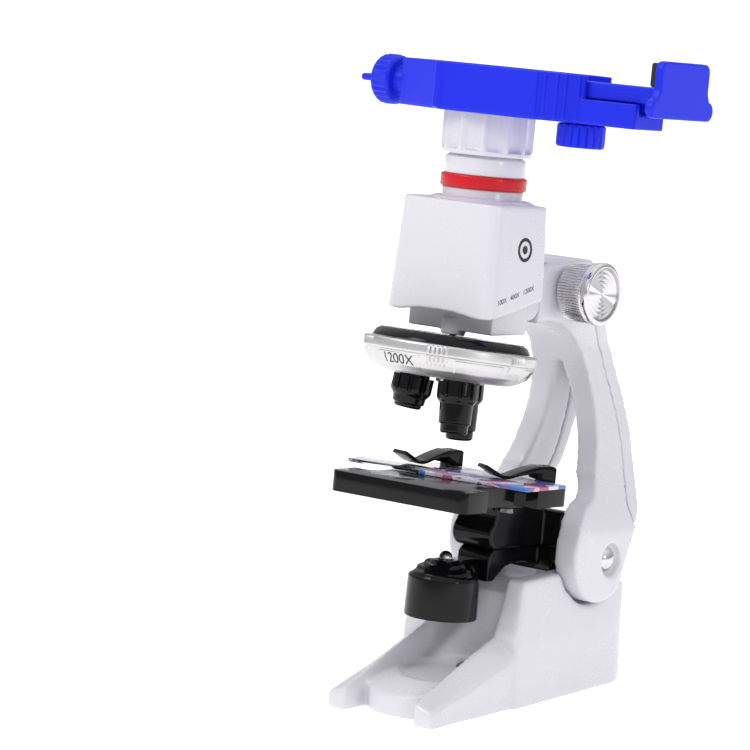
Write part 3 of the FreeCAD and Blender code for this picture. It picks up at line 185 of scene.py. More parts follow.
def clear(name, colour):
    """Clear plastic or glass with faint haze."""
    recipe = Recipe(name)
    haze = recipe.noise(240.0, 3.0)
    recipe.set(Base_Color=recipe.mix(haze, shade(colour, 0.95), shade(colour, 1.0)), Transmission_Weight=1.0,
               IOR=1.49, Roughness=0.03 + 0.04 * haze)
    FINISHES[name] = recipe.material
    return recipe


def film_on(recipe):
    """Coloured specimen patches printed on a clear slide, dense at its right end."""
    across = recipe.make("ShaderNodeSeparateXYZ", {}, recipe.place)
    cells = recipe.make("ShaderNodeTexVoronoi", {}, Vector=recipe.place, Scale=170.0, output=1)
    pick = recipe.make("ShaderNodeSeparateXYZ", {}, cells)
    ramp = recipe.make("ShaderNodeValToRGB", {}, pick)
    colours = recipe.tree.nodes[-1].color_ramp
    colours.interpolation = "CONSTANT"
    for place, colour in ((0.24, (0.22, 0.14, 0.55, 1)), (0.42, (0.72, 0.50, 0.62, 1)),
                          (0.60, (0.06, 0.20, 0.62, 1)), (0.74, (0.75, 0.76, 0.85, 1))):
        colours.elements.new(place).color = colour
    colours.elements[0].color = (0.46, 0.12, 0.26, 1)
    colours.elements[-1].color = (0.52, 0.16, 0.30, 1)
    printed = recipe.tree.nodes.new("ShaderNodeBsdfPrincipled")
    recipe.feed(printed.inputs["Base Color"], ramp)
    recipe.feed(printed.inputs["Roughness"], 0.18)
    density = (across * 22.0 + 0.62) + 0.6 * (recipe.noise(60.0, 2.0) - 0.5)
    share = density.work("GREATER_THAN", density, 0.42)
    blend = recipe.tree.nodes.new("ShaderNodeMixShader")
    recipe.feed(blend.inputs[0], share * 0.88)
    recipe.tree.links.new(recipe.shader.outputs[0], blend.inputs[1])
    recipe.tree.links.new(printed.outputs[0], blend.inputs[2])
    recipe.tree.links.new(blend.outputs[0], recipe.tree.nodes["Material Output"].inputs[0])


def make_finishes(colours):
    moulded("white_plastic", colours.shell, 0.24, coat=0.15)
    moulded("blue_plastic", colours.holder, 0.30, shine=0.2)
    moulded("red_plastic", colours.ring, 0.25, shine=0.3)
    moulded("black_plastic", colours.stage, 0.10, shine=0.22)
    moulded("print_ink", colours.ink, 0.5)
    moulded("battery_wrap", (0.05, 0.05, 0.06), 0.4)
    moulded("circuit_board", (0.03, 0.2, 0.08), 0.4)
    moulded("rubber_pad", (0.012, 0.012, 0.014), 0.75, 0.00005)
    metal("satin_silver", colours.turret, 0.30)
    metal("chrome", colours.knob, 0.14)
    metal("steel", (0.55, 0.55, 0.56), 0.3)
    metal("brass", (0.7, 0.5, 0.22), 0.28)
    metal("mirror_glass", (0.85, 0.86, 0.88), 0.02)
    clear("clear_lens", (0.95, 0.97, 1.0))
    film_on(clear("slide_plastic", (0.9, 0.93, 0.97)))


def dress(thing, finish):
    thing.data.materials.clear()
    thing.data.materials.append(FINISHES[finish])


# ---------------------------------------------------------------- shaping helpers
def add_piece(name, data, body, finish, place=ARM, stands_for=(), crease=38.0):
    """Put a mesh that was shaped in upright millimetres where it rests on its body."""
    data.transform(place)
    data.name = name
    data.polygons.foreach_set("use_smooth", [True] * len(data.polygons))
    data.set_sharp_from_angle(angle=math.radians(crease))
    thing = bpy.data.objects.new(name, data)
    bpy.context.scene.collection.objects.link(thing)
    dress(thing, finish)
    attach(thing, body)
    if stands_for:
        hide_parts(*stands_for)
    return thing


def to_data(mesh):
    """Turn a bmesh into mesh data, with its faces pointing outward."""
    bmesh.ops.recalc_face_normals(mesh, faces=mesh.faces)
    data = bpy.data.meshes.new("piece")
    mesh.to_mesh(data)
    mesh.free()
    return data


def merged(node, place=ARM):
    """A welded copy of a frame node, in its own upright millimetres."""
    mesh = bmesh.new()
    mesh.from_mesh(frame["nodes"][node].data)
    mesh.transform(place.inverted())
    bmesh.ops.remove_doubles(mesh, verts=mesh.verts, dist=0.002)
    bmesh.ops.recalc_face_normals(mesh, faces=mesh.faces)
    return mesh


def soften(node, width, place=ARM, segments=2, angle=32.0):
    """Stand a copy of a frame node with its edges rounded over in the node's place."""
    mesh = merged(node, place)
    bmesh.ops.dissolve_limit(mesh, angle_limit=math.radians(1.5), verts=mesh.verts, edges=mesh.edges)
    limit = math.radians(angle)
    edges = [edge for edge in mesh.edges if len(edge.link_faces) == 2 and edge.calc_face_angle(0.0) > limit]
    bmesh.ops.bevel(mesh, geom=edges, offset=width, offset_type="OFFSET", segments=segments, profile=0.5,
                    affect="EDGES", clamp_overlap=True, material=-1)
    bmesh.ops.remove_doubles(mesh, verts=mesh.verts, dist=0.001)
    return add_piece(node + "_moulded", to_data(mesh), BODY_OF[node], SLOT_OF[node], place, (node,))


def evaluated(thing):
    """The mesh that an object's modifiers or font give; the object itself is removed."""
    bpy.context.scene.collection.objects.link(thing)
    depsgraph = bpy.context.evaluated_depsgraph_get()
    data = bpy.data.meshes.new_from_object(thing.evaluated_get(depsgraph), depsgraph=depsgraph)
    bpy.data.objects.remove(thing)
    return data


def melt(node, grain, rounds, place=ARM):
    """Stand a copy of a frame node with melted corners, as from a worn mould, in the node's place."""
    thing = bpy.data.objects.new("melting", to_data(merged(node, place)))
    remesh = thing.modifiers.new("remesh", "REMESH")
    remesh.mode, remesh.voxel_size, remesh.adaptivity = "VOXEL", grain, 0.0
    smooth = thing.modifiers.new("smooth", "SMOOTH")
    smooth.factor, smooth.iterations = 0.5, rounds
    data = evaluated(thing)
    return add_piece(node + "_moulded", data, BODY_OF[node], SLOT_OF[node], place, (node,), crease=50.0)


def turned(profile, steps):
    """A (radius, height) outline spun about Z; corners on the axis close it."""
    mesh = bmesh.new()
    verts = [mesh.verts.new((radius, 0.0, height)) for radius, height in profile]
    edges = [mesh.edges.new(pair) for pair in zip(verts, verts[1:])]
    bmesh.ops.spin(mesh, geom=verts + edges, cent=(0, 0, 0), axis=(0, 0, 1), angle=math.tau, steps=steps,
                   use_merge=True)
    bmesh.ops.remove_doubles(mesh, verts=mesh.verts, dist=0.0005)
    return mesh


def rounded_profile(corners, radius, steps=4):
    """The outline with each corner cut back and replaced by a small curve."""
    outline = [corners[0]]
    for before, corner, after in zip(corners, corners[1:], corners[2:]):
        here = Vector(corner)
        back, ahead = Vector(before) - here, Vector(after) - here
        reach = min(radius, back.length * 0.45, ahead.length * 0.45)
        start, end = here + back.normalized() * reach, here + ahead.normalized() * reach
        for step in range(steps + 1):
            share = step / steps
            point = start * (1 - share) ** 2 + here * 2 * share * (1 - share) + end * share ** 2
            outline.append(tuple(point))
    outline.append(corners[-1])
    return outline


def swell(mesh, change):
    """Move every corner in or out from Z by change(angle, height, radius)."""
    for vert in mesh.verts:
        radius = math.hypot(vert.co.x, vert.co.y)
        if radius > 0.01:
            angle = math.atan2(vert.co.y, vert.co.x)
            factor = 1 + change(angle, vert.co.z, radius) / radius
            vert.co.x *= factor
            vert.co.y *= factor


def within(value, low, high, soft):
    """1 between low and high, falling to 0 over a soft margin outside."""
    return max(0.0, min(1.0, (value - low) / soft + 1, (high - value) / soft + 1))


def onto_axis(axis, base):
    """A matrix that turns Z to an axis and moves the origin to base."""
    return Matrix.Translation(base) @ Vector(axis).to_track_quat("Z", "Y").to_matrix().to_4x4()


def words(text, height):
    """The mesh of a line of built-in lettering, centred on the origin, in millimetres."""
    curve = bpy.data.curves.new("words", "FONT")
    curve.body, curve.size = text, height
    curve.align_x, curve.align_y = "CENTER", "CENTER"
    return evaluated(bpy.data.objects.new("words", curve))


def printed(name, data, surface, aim, body, finish, place=ARM, lift=0.06):
    """Lay flat artwork on a piece; aim gives the ray start and direction for each of its points."""
    mesh = bmesh.new()
    mesh.from_mesh(surface.data)
    mesh.transform(place.inverted())
    tree = BVHTree.FromBMesh(mesh)
    mesh.free()
    art = bmesh.new()
    art.from_mesh(data)
    bmesh.ops.triangulate(art, faces=art.faces)
    bmesh.ops.subdivide_edges(art, edges=[edge for edge in art.edges if edge.calc_length() > 0.9], cuts=1)
    for vert in art.verts:
        start, direction = aim(vert.co.x, vert.co.y)
        hit, normal, _, _ = tree.ray_cast(start, direction)
        if hit is None:
            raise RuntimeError(f"{name} misses the piece it is printed on")
        vert.co = hit - direction * lift
    out = bpy.data.meshes.new(name)
    art.to_mesh(out)
    art.free()
    return add_piece(name, out, body, finish, place)


# ---------------------------------------------------------------- properties
def colour_setting(name, description, default):
    return FloatVectorProperty(name=name, description=description, default=default, subtype="COLOR", size=3,
                               min=0.0, max=1.0)


class MicroscopeColours(bpy.types.PropertyGroup):
    """Colours of the main mouldings, as linear light."""
    shell: colour_setting("Shell", "Base, arm, head and tube", (0.70, 0.69, 0.735))
    holder: colour_setting("Holder", "Phone holder", (0.012, 0.026, 0.72))
    ring: colour_setting("Ring", "Band round the tube", (0.62, 0.010, 0.018))
    stage: colour_setting("Stage", "Stage, bracket, clips, lamp and objectives", (0.0045, 0.004, 0.0048))
    turret: colour_setting("Turret", "Turret bowl", (0.66, 0.65, 0.65))
    knob: colour_setting("Knob", "Focus knobs and pivot bolts", (0.70, 0.69, 0.70))
    ink: colour_setting("Ink", "Printed numbers", (0.012, 0.012, 0.014))


class MicroscopeSizes(bpy.types.PropertyGroup):
    """Sizes of the details that are made here, in millimetres."""
    shell_grain: FloatProperty(name="Shell grain", default=0.9, min=0.5, max=2.0,
                               description="Cell size, in mm, at which the large mouldings melt")
    small_grain: FloatProperty(name="Small grain", default=0.5, min=0.3, max=1.5,
                               description="Cell size, in mm, at which the small mouldings melt")
    edge_round: FloatProperty(name="Edge round", description="Edge rounding of the hard pieces, in mm",
                              default=0.5, min=0.05, max=2.0)
    knurl_count: IntProperty(name="Knurls", description="Grooves round a focus knob",
                             default=64, min=12, max=120)
    sleeve_flutes: IntProperty(name="Sleeve flutes", description="Broad flutes round the eyepiece sleeve",
                               default=12, min=4, max=40)
    number_height: FloatProperty(name="Numbers", description="Height of the turret's numbers, in mm",
                                 default=5.2, min=1.0, max=9.0)
    magnifications: StringProperty(name="Magnifications", description="Numbers on the turret and head",
                                   default="1200X 100X 400X")


class MicroscopeSettings(bpy.types.PropertyGroup):
    """Everything that a user may change before the pieces are built."""
    colours: PointerProperty(type=MicroscopeColours)
    sizes: PointerProperty(type=MicroscopeSizes)


def sizes():
    return bpy.context.scene.toy_microscope.sizes


# ---------------------------------------------------------------- pieces
class MICROSCOPE_OT_finishes(bpy.types.Operator):
    """Mix the finishes and put each node's own on it"""
    bl_idname = "microscope.finishes"
    bl_label = "Finishes"

    def execute(self, context):
        make_finishes(context.scene.toy_microscope.colours)
        for node, slot in SLOT_OF.items():
            dress(frame["nodes"][node], slot)
        return {"FINISHED"}


class MICROSCOPE_OT_shells(bpy.types.Operator):
    """Build the white mouldings of the base, arm and head"""
    bl_idname = "microscope.shells"
    bl_label = "Base, arm and head"

    def execute(self, context):
        grain = sizes().shell_grain
        melt("base_shell", grain, 7, GROUND)
        melt("arm_frame", grain, 5)
        melt("arm_back_cover", grain, 4)
        melt("head_shell", grain * 0.7, 9)
        for node in ("nose_block", "focus_carriage"):
            melt(node, grain * 0.6, 4)
        return {"FINISHED"}


class MICROSCOPE_OT_bracket(bpy.types.Operator):
    """Build the black bracket and the lamp's arm"""
    bl_idname = "microscope.bracket"
    bl_label = "Bracket"

    def execute(self, context):
        melt("stage_bracket", sizes().small_grain, 7)
        melt("lamp_arm", sizes().small_grain, 5)
        return {"FINISHED"}


class MICROSCOPE_OT_holder(bpy.types.Operator):
    """Build the blue phone holder"""
    bl_idname = "microscope.holder"
    bl_label = "Phone holder"

    def execute(self, context):
        grain = sizes().small_grain
        for node in ("holder_frame", "slide_bar"):
            melt(node, grain * 0.8, 3)
        soften("clamp_jaw", 0.5)
        soften("jaw_pad", 0.4)
        self.screw()
        self.lock()
        return {"FINISHED"}

    def screw(self):
        """The clamp screw: a thread, a ribbed disc and a thin wing to turn it by."""
        low, high = upright("clamp_screw")
        middle = (low + high) / 2
        radius = (high.z - low.z) / 2
        length = high.x - low.x
        hub, shank, pitch = 5.2, 3.0, 2.5
        disc_low, disc_high = 5.2, 13.4
        profile = rounded_profile([
            (0, disc_low), (radius * 0.9, disc_low), (radius, disc_low + 1.2), (radius, disc_high - 1.0),
            (radius * 0.9, disc_high), (hub, disc_high + 0.2), (hub, length - 9.0), (shank, length - 8.6),
            (shank, length), (0, length)], 0.5)
        mesh = turned(profile, 96)

        def ribs(angle, z, r):
            return 0.28 * math.cos(24 * angle) * within(z, 6.8, 12.0, 0.5) * (r > radius * 0.9)

        def thread(angle, z, r):
            wave = math.cos(math.tau * z / pitch - angle)
            return 0.35 * wave * within(z, length - 8, length - 1, 1) * (r > 2.0)
        swell(mesh, ribs)
        swell(mesh, thread)
        mesh.transform(onto_axis((1, 0, 0), (low.x, middle.y, middle.z)))
        wing = bmesh.new()
        bmesh.ops.create_cube(wing, size=1.0)
        wing_long = 8.4
        wing.transform(Matrix.Translation((low.x + wing_long / 2, middle.y, middle.z))
                       @ Matrix.Diagonal((wing_long, radius * 1.6, 2.6, 1)))
        bmesh.ops.bevel(wing, geom=wing.edges, offset=1.2, offset_type="OFFSET", segments=4, profile=0.5,
                        affect="EDGES", clamp_overlap=True, material=-1)
        mesh.from_mesh(to_data(wing))
        add_piece("clamp_screw_turned", to_data(mesh), "clamp_screw", "blue_plastic", ARM, ("clamp_screw",))

    def lock(self):
        """The knurled lock knob under the frame."""
        low, high = upright("lock_knob")
        middle = (low + high) / 2
        radius, height = (high.x - low.x) / 2, high.z - low.z
        skirt = height - 5.7
        stud = 1.8
        profile = rounded_profile([
            (0, 0), (radius * 0.92, 0), (radius, 0.8), (radius, skirt - 0.5), (radius - 0.6, skirt),
            (stud, skirt), (stud, height), (0, height)], 0.4)
        mesh = turned(profile, 144)

        def grooves(angle, z, r):
            groove = max(0.0, math.cos(18 * angle)) ** 2
            return -0.7 * groove * within(z, 0.6, skirt - 0.8, 0.4) * (r > radius * 0.8)
        swell(mesh, grooves)
        mesh.transform(Matrix.Translation((middle.x, middle.y, low.z)))
        add_piece("lock_knob_turned", to_data(mesh), "lock", "blue_plastic", ARM, ("lock_knob",))


class MICROSCOPE_OT_knobs(bpy.types.Operator):
    """Build the knurled focus knobs and the domed pivot bolts"""
    bl_idname = "microscope.knobs"
    bl_label = "Knobs and bolts"

    def execute(self, context):
        count = sizes().knurl_count
        for node in ("focus_knob_right", "focus_knob_left"):
            self.knob(node, count)
        for node in ("pivot_bolt_right", "pivot_bolt_left"):
            soften(node, 0.15)
        return {"FINISHED"}

    def knob(self, node, count):
        low, high = upright(node)
        middle = (low + high) / 2
        side = 1 if middle.x > 0 else -1
        length, radius = high.x - low.x, (high.z - low.z) / 2
        face = length - 0.5
        outline = [(2.0, 0), (radius - 2.4, 0), (radius - 0.9, 1.2), (radius - 0.5, 2.0),
                   (radius - 0.5, length - 3.6), (radius - 0.9, length - 3.2),
                   (radius - 0.1, length - 2.4), (radius, length - 1.6),
                   (radius - 0.1, length - 0.7), (radius - 0.9, length), (radius - 1.7, length - 0.1)]
        rings = 6
        step = (radius - 2.0) / rings
        for ring in range(rings):
            outer = radius - 1.9 - ring * step
            outline += [(outer, face - 0.75), (outer - step * 0.25, face - 0.45),
                        (outer - step * 0.5, face - 0.15), (outer - step * 0.78, face - 0.5)]
        outline.append((0, face - 0.7))
        mesh = turned(outline, count * 6)

        def knurl(angle, z, r):
            groove = (0.5 + 0.5 * math.cos(count * angle)) ** 1.5
            return -0.62 * groove * within(z, 1.6, length - 4.2, 0.5) * (r > radius * 0.85)
        swell(mesh, knurl)
        base = (low.x if side > 0 else high.x, middle.y, middle.z)
        mesh.transform(onto_axis((side, 0, 0), base))
        add_piece(node + "_turned", to_data(mesh), BODY_OF[node], "chrome", ARM, (node,), crease=50.0)


class MICROSCOPE_OT_tube(bpy.types.Operator):
    """Build the tube, its red band and the fluted eyepiece sleeve"""
    bl_idname = "microscope.tube"
    bl_label = "Tube"

    def execute(self, context):
        soften("body_tube", 0.3)
        soften("eyepiece_lens", 0.1)
        low, high = upright("red_ring")
        outer, height = high.x, high.z - low.z
        inner = outer - 2.0
        band = [(inner, 0), (outer, 0), (outer, height), (inner, height), (inner, 0)]
        mesh = turned(rounded_profile(band, 0.9, 6), 128)
        mesh.transform(Matrix.Translation((0, 0, low.z)))
        add_piece("red_ring_turned", to_data(mesh), "head", "red_plastic", ARM, ("red_ring",))
        self.sleeve()
        return {"FINISHED"}

    def sleeve(self):
        low, high = upright("eyepiece_sleeve")
        outer, height = high.x, high.z - low.z
        flutes = sizes().sleeve_flutes
        visible = upright("holder_frame")[0].z - low.z
        bore = 12.9
        outline = [(bore, 0), (outer - 0.7, 0), (outer - 0.3, 0.4), (outer - 0.2, 1.0), (outer - 0.25, 1.5)]
        outline += [(outer - 0.1, 1.9 + (visible - 1.0) * step / 14) for step in range(15)]
        outline += [(outer, visible + 2), (outer, height - 3), (outer - 0.5, height - 1),
                    (outer - 1.6, height), (6.2, height), (8.4, height - 3), (8.4, height - 5),
                    (bore, height - 5.4), (bore, 0)]
        mesh = turned(outline, flutes * 12)

        def flute(angle, z, r):
            wave = abs(math.cos(flutes * angle / 2)) ** 6
            return (0.25 * wave - 1.25 * (1 - wave)) * within(z, 2.1, visible + 1.0, 0.6) * (r > outer * 0.9)
        swell(mesh, flute)
        mesh.transform(Matrix.Translation((0, 0, low.z)))
        add_piece("eyepiece_sleeve_turned", to_data(mesh), "eyepiece", "white_plastic",
                  stands_for=("eyepiece_sleeve",))


def turret_place():
    """From millimetres about the turret's own axis to metres in the frame."""
    joint = JOINTS["turret_turn"]
    turn = Vector(joint["axis"]).to_track_quat("Z", "X").to_matrix().to_4x4()
    return Matrix.Translation(joint["pos_m"]) @ turn @ Matrix.Scale(MM, 4)


class MICROSCOPE_OT_turret(bpy.types.Operator):
    """Build the silver turret bowl with its grips, panels and numbers"""
    bl_idname = "microscope.turret"
    bl_label = "Turret"

    def execute(self, context):
        place = turret_place()
        high = upright("turret_bowl", place)[1]
        rim, top = high.x, high.z
        spin = self.start(place)
        flat, wall = rim - 10.0, 2.2
        outline = [
            (0, 0), (flat - 1, 0), (flat + 1.5, 0.25), (flat + 4.2, 1.2), (flat + 6.6, 2.8),
            (flat + 8.2, 4.8),
            (flat + 8.9, 6.6), (flat + 9.1, 7.4), (rim - 0.2, 7.8), (rim, 8.3), (rim, top - 0.6),
            (rim - 0.5, top), (rim - wall + 0.4, top), (rim - wall, top - 0.5), (rim - wall, 8.0),
            (rim - wall - 1.0, 5.0), (flat + 3.0, 2.6), (flat - 1, 1.7), (0, 1.7)]
        mesh = turned(rounded_profile(outline, 0.5, 3), 720)

        def grips(angle, z, r):
            turn = (angle - spin) % (math.tau / 6)
            turn = min(turn, math.tau / 6 - turn)
            if turn > 0.125 or r < rim - 3.5 or z < 3.0:
                return 0.0
            return (0.6 * (0.5 + 0.5 * math.cos(angle * 120)) - 0.1) * within(z, 5.2, top - 0.9, 0.8)

        def panels(angle, z, r):
            turn = (angle - spin + math.tau / 12) % (math.tau / 6)
            turn = min(turn, math.tau / 6 - turn)
            return 0.32 * within(turn, -1.0, 0.30, 0.012) * within(z, 1.9, 6.7, 0.3) * (r > flat)
        swell(mesh, lambda angle, z, r: grips(angle, z, r) + panels(angle, z, r))
        bowl = add_piece("turret_bowl_turned", to_data(mesh), "turret", "satin_silver", place,
                         ("turret_bowl",))
        for index, text in enumerate(sizes().magnifications.split()):
            self.number(text, spin - math.tau / 12 - index * math.tau / 3, bowl, place)
        soften("turret_cap", 0.4)
        soften("turret_screw", 0.2)
        return {"FINISHED"}

    def start(self, place):
        """The angle of the grip that faces the front right, in the turret's own turn."""
        front_right = math.radians(27.6)
        ahead = place.inverted().to_3x3() @ Vector((math.sin(front_right), -math.cos(front_right), 0))
        return math.atan2(ahead.y, ahead.x)

    def number(self, text, angle, bowl, place):
        data = words(text, sizes().number_height)
        radius = upright("turret_bowl", place)[1].x

        def aim(x, y):
            turn = angle + x / radius
            outward = Vector((math.cos(turn), math.sin(turn), 0))
            return outward * (radius + 6) + Vector((0, 0, 4.6 + y * 0.9)), -outward
        printed("turret_number_" + text, data, bowl, aim, "turret", "print_ink", place, 0.08)


class MICROSCOPE_OT_objectives(bpy.types.Operator):
    """Build the three black objectives with fluted collars"""
    bl_idname = "microscope.objectives"
    bl_label = "Objectives"

    def execute(self, context):
        joint = JOINTS["turret_turn"]
        centre, axis = Vector(joint["pos_m"]), Vector(joint["axis"])
        for index, node in enumerate(("objective_1200", "objective_100", "objective_400")):
            turn = Matrix.Rotation(index * math.tau / 3, 4, axis)
            place = Matrix.Translation(centre) @ turn @ Matrix.Translation(-centre) @ ARM
            low, high = upright(node, place)
            self.objective(node, low, high, place)
        return {"FINISHED"}

    def objective(self, node, low, high, place):
        collar, barrel, length = high.x, high.x - 1.8, high.z - low.z
        top = length - 6.35
        under = top - 6.4
        step = min(3.2, under * 0.3)
        outline = rounded_profile([
            (1.6, 2.0), (1.6, 0), (barrel - 1.2, 0), (barrel - 0.7, 0.5), (barrel - 0.6, step),
            (barrel + 0.1, step + 0.2), (barrel + 0.35, under - 0.9), (collar - 0.7, under),
            (collar - 0.2, under + 0.9)], 0.35, 3)
        outline += [(collar - 0.1, under + 0.9 + (top - under - 0.9) * share / 8) for share in range(1, 9)]
        outline += [(collar - 0.8, top), (barrel, top), (barrel, length), (0, length)]
        mesh = turned(outline, 240)

        def flutes(angle, z, r):
            groove = within(abs(math.sin(5 * angle)), -1, 0.3, 0.15)
            return -0.75 * groove * within(z, under + 1.6, top, 0.9) * (r > collar - 1.4)
        swell(mesh, flutes)
        mesh.transform(Matrix.Translation((0, 0, low.z)))
        add_piece(node + "_turned", to_data(mesh), "turret", "black_plastic", place, (node,), crease=45.0)


class MICROSCOPE_OT_stage_plate(bpy.types.Operator):
    """Build the stage, its slide and clips"""
    bl_idname = "microscope.stage_plate"
    bl_label = "Stage"

    def execute(self, context):
        soften("stage", 0.7, segments=3)
        soften("specimen_slide", 0.12)
        for node in ("clip_right", "clip_left"):
            soften(node, 0.35, segments=3)
        return {"FINISHED"}


class MICROSCOPE_OT_lamp(bpy.types.Operator):
    """Build the lamp cup with its stepped top and its neck, round the clear lamp"""
    bl_idname = "microscope.lamp"
    bl_label = "Lamp"

    def execute(self, context):
        low, high = upright("lamp_cup")
        radius = high.x
        shoulder = high.z - low.z - 5.8
        led = upright("led")[1].x
        outline = rounded_profile([
            (radius - 2.0, 0), (radius - 0.3, 0), (radius, 0.5), (radius - 0.25, shoulder - 0.4),
            (radius - 1.0, shoulder + 0.9), (radius - 2.8, shoulder + 1.5), (radius - 3.3, shoulder + 2.7),
            (radius - 5.2, shoulder + 3.2),
            (radius - 5.8, shoulder + 4.4), (radius - 7.6, shoulder + 4.8), (radius - 8.2, shoulder + 5.7),
            (led + 0.4, shoulder + 5.8), (led + 0.3, shoulder + 1.0), (radius - 4.2, shoulder - 0.4),
            (radius - 2.2, shoulder - 2.0), (radius - 2.0, 0)], 0.55)
        mesh = turned(outline, 192)
        for vert in mesh.verts:
            share = within(vert.co.z, shoulder + 0.8, shoulder + 4.8, 0.5)
            reach = math.hypot(vert.co.x, vert.co.y)
            vert.co.z += 0.7 * share * math.sin(2 * math.atan2(vert.co.y, vert.co.x) - 0.7 * reach)
        mesh.transform(Matrix.Translation((0, -1, low.z)))
        joint = ARM.inverted() @ Vector(JOINTS["lamp_flip"]["pos_m"])
        inside, thick, thin, axle_end = radius - 2.4, 3.8, 2.2, 23.0
        neck = turned(rounded_profile([
            (0, inside), (thick, inside), (thick, 15.2), (thin, 15.4), (thin, axle_end),
            (0, axle_end)], 0.4), 48)
        neck.transform(Matrix.Translation((0, 0, joint.z)) @ Matrix.Rotation(-math.pi / 2, 4, "X"))
        mesh.from_mesh(to_data(neck))
        add_piece("lamp_cup_turned", to_data(mesh), "lamp", "black_plastic", ARM, ("lamp_cup",), crease=45.0)
        return {"FINISHED"}


class MICROSCOPE_OT_print(bpy.types.Operator):
    """Print the head's numbers and a plain lens mark"""
    bl_idname = "microscope.print"
    bl_label = "Print"

    def execute(self, context):
        head = bpy.data.objects["head_shell_moulded"]
        tilt = math.radians(14.0)
        text = "   ".join(sorted(sizes().magnifications.split(), key=lambda word: int(word[:-1])))

        def aim(middle, slant):
            def at(x, y):
                start = (60, middle[0] + x * math.cos(slant), middle[1] + y + x * math.tan(slant))
                return Vector(start), Vector((-1, 0, 0))
            return at
        printed("head_numbers", words(text, 2.5), head, aim((-6.0, 142.6), tilt), "head", "print_ink")
        mark = bmesh.new()
        bmesh.ops.create_circle(mark, cap_ends=True, segments=40, radius=1.5)
        ring = bmesh.new()
        verts = [ring.verts.new((radius, 0, 0)) for radius in (3.0, 4.2)]
        bmesh.ops.spin(ring, geom=verts + [ring.edges.new(verts)], cent=(0, 0, 0), axis=(0, 0, 1),
                       angle=math.tau, steps=48, use_merge=True)
        mark.from_mesh(to_data(ring))
        printed("head_mark", to_data(mark), head, aim((-2.0, 158.5), 0.0), "head", "print_ink")
        return {"FINISHED"}


# The camera's turn, rise and roll in degrees; its distance and aim in metres; its lens in millimetres.
CAMERA_ANGLES = (37.23, 8.89, 2.71)
CAMERA_AWAY, SHIFT_LEFT, SHIFT_UP = 1.32403, 0.02804, 0.00706
CAMERA_LENS = 181.9


def make_camera():
    """A long lens at the object's front right, a little above it."""
    turn, rise, roll = (math.radians(angle) for angle in CAMERA_ANGLES)
    ahead = Vector((-math.sin(turn) * math.cos(rise), math.cos(turn) * math.cos(rise), -math.sin(rise)))
    level = Vector((math.cos(turn), math.sin(turn), 0))
    over = level.cross(ahead)
    right = level * math.cos(roll) + over * math.sin(roll)
    up = over * math.cos(roll) - level * math.sin(roll)
    target = Vector((0, 0, 0.110)) - right * SHIFT_LEFT + up * SHIFT_UP
    data = bpy.data.cameras.new("camera")
    data.sensor_width, data.lens = 36.0, CAMERA_LENS
    camera = bpy.data.objects.new("camera", data)
    bpy.context.scene.collection.objects.link(camera)
    basis = Matrix((right, up, -ahead)).transposed().to_4x4()
    camera.matrix_world = Matrix.Translation(target - ahead * CAMERA_AWAY) @ basis
    bpy.context.scene.camera = camera


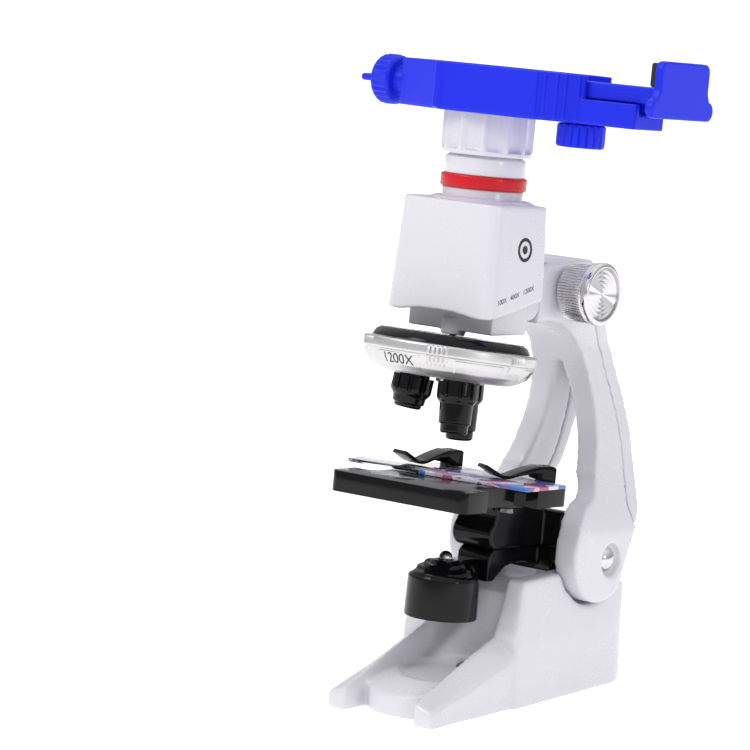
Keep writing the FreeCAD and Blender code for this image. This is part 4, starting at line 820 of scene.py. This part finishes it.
class MICROSCOPE_OT_studio(bpy.types.Operator):
    """Set the camera, a white floor and soft lights"""
    bl_idname = "microscope.studio"
    bl_label = "Studio"

    def execute(self, context):
        make_camera()
        mesh = bmesh.new()
        bmesh.ops.create_grid(mesh, x_segments=1, y_segments=1, size=6.0)
        floor = bpy.data.objects.new("floor", to_data(mesh))
        context.scene.collection.objects.link(floor)
        recipe = Recipe("studio_floor")
        paint = recipe.mix(recipe.noise(2.0), (0.93, 0.93, 0.93, 1), (0.95, 0.95, 0.95, 1))
        recipe.set(Base_Color=paint, Roughness=0.8)
        glow = recipe.mix(recipe.noise(1.5), (1, 1, 1, 1), (0.99, 0.99, 1, 1))
        recipe.set(Emission_Color=glow, Emission_Strength=0.42)
        floor.data.materials.append(recipe.material)
        self.sky(context)
        lamps = (("key", (-0.55, -1.1, 1.25), 0.6, 7.0), ("strip", (1.5, -0.2, 0.5), 0.25, 2.0))
        for name, place, size, power in lamps:
            data = bpy.data.lights.new(name, "AREA")
            data.size, data.energy = size, power
            light = bpy.data.objects.new(name, data)
            aim = (Vector((0, 0, 0.1)) - Vector(place)).to_track_quat("-Z", "Y")
            light.matrix_world = Matrix.Translation(place) @ aim.to_matrix().to_4x4()
            context.scene.collection.objects.link(light)
        context.scene.view_settings.view_transform = "Standard"
        return {"FINISHED"}

    def sky(self, context):
        """A white sky that dims toward the horizon, so that polished sides have something to reflect."""
        world = bpy.data.worlds.new("studio")
        world.use_nodes = True
        nodes, links = world.node_tree.nodes, world.node_tree.links
        way = nodes.new("ShaderNodeTexCoord")
        split = nodes.new("ShaderNodeSeparateXYZ")
        ramp = nodes.new("ShaderNodeValToRGB")
        links.new(way.outputs["Generated"], split.inputs[0])
        links.new(split.outputs["Z"], ramp.inputs[0])
        links.new(ramp.outputs[0], nodes["Background"].inputs["Color"])
        low, high = ramp.color_ramp.elements
        low.position, low.color = 0.0, (0.30, 0.30, 0.31, 1)
        high.position, high.color = 0.75, (1, 1, 1, 1)
        ramp.color_ramp.elements.new(0.3).color = (0.52, 0.52, 0.54, 1)
        nodes["Background"].inputs["Strength"].default_value = 1.1
        context.scene.world = world


class MICROSCOPE_OT_fittings(bpy.types.Operator):
    """Round over the edges of the small hard pieces"""
    bl_idname = "microscope.fittings"
    bl_label = "Small fittings"

    def execute(self, context):
        for node in ("base_plate", "battery_cover", "power_switch"):
            soften(node, 0.25, GROUND)
        return {"FINISHED"}


STEPS = (MICROSCOPE_OT_finishes, MICROSCOPE_OT_shells, MICROSCOPE_OT_bracket, MICROSCOPE_OT_holder,
         MICROSCOPE_OT_knobs, MICROSCOPE_OT_tube, MICROSCOPE_OT_turret, MICROSCOPE_OT_objectives,
         MICROSCOPE_OT_stage_plate, MICROSCOPE_OT_lamp, MICROSCOPE_OT_fittings, MICROSCOPE_OT_print,
         MICROSCOPE_OT_studio)


class MICROSCOPE_PT_panel(bpy.types.Panel):
    """The microscope's settings and building steps"""
    bl_label = "Toy microscope"
    bl_idname = "MICROSCOPE_PT_panel"
    bl_space_type = "VIEW_3D"
    bl_region_type = "UI"
    bl_category = "Microscope"

    def draw(self, context):
        settings = context.scene.toy_microscope
        for part in (settings.colours, settings.sizes):
            for name in part.__annotations__:
                self.layout.prop(part, name)
        for step in STEPS:
            self.layout.operator(step.bl_idname)


CLASSES = (MicroscopeColours, MicroscopeSizes, MicroscopeSettings, *STEPS, MICROSCOPE_PT_panel)


def register():
    for item in CLASSES:
        bpy.utils.register_class(item)
    bpy.types.Scene.toy_microscope = PointerProperty(type=MicroscopeSettings)


def unregister():
    del bpy.types.Scene.toy_microscope
    for item in reversed(CLASSES):
        bpy.utils.unregister_class(item)


def main():
    register()
    for step in STEPS:
        getattr(bpy.ops.microscope, step.bl_idname.split(".")[1])()


if __name__ == "__main__":
    main()
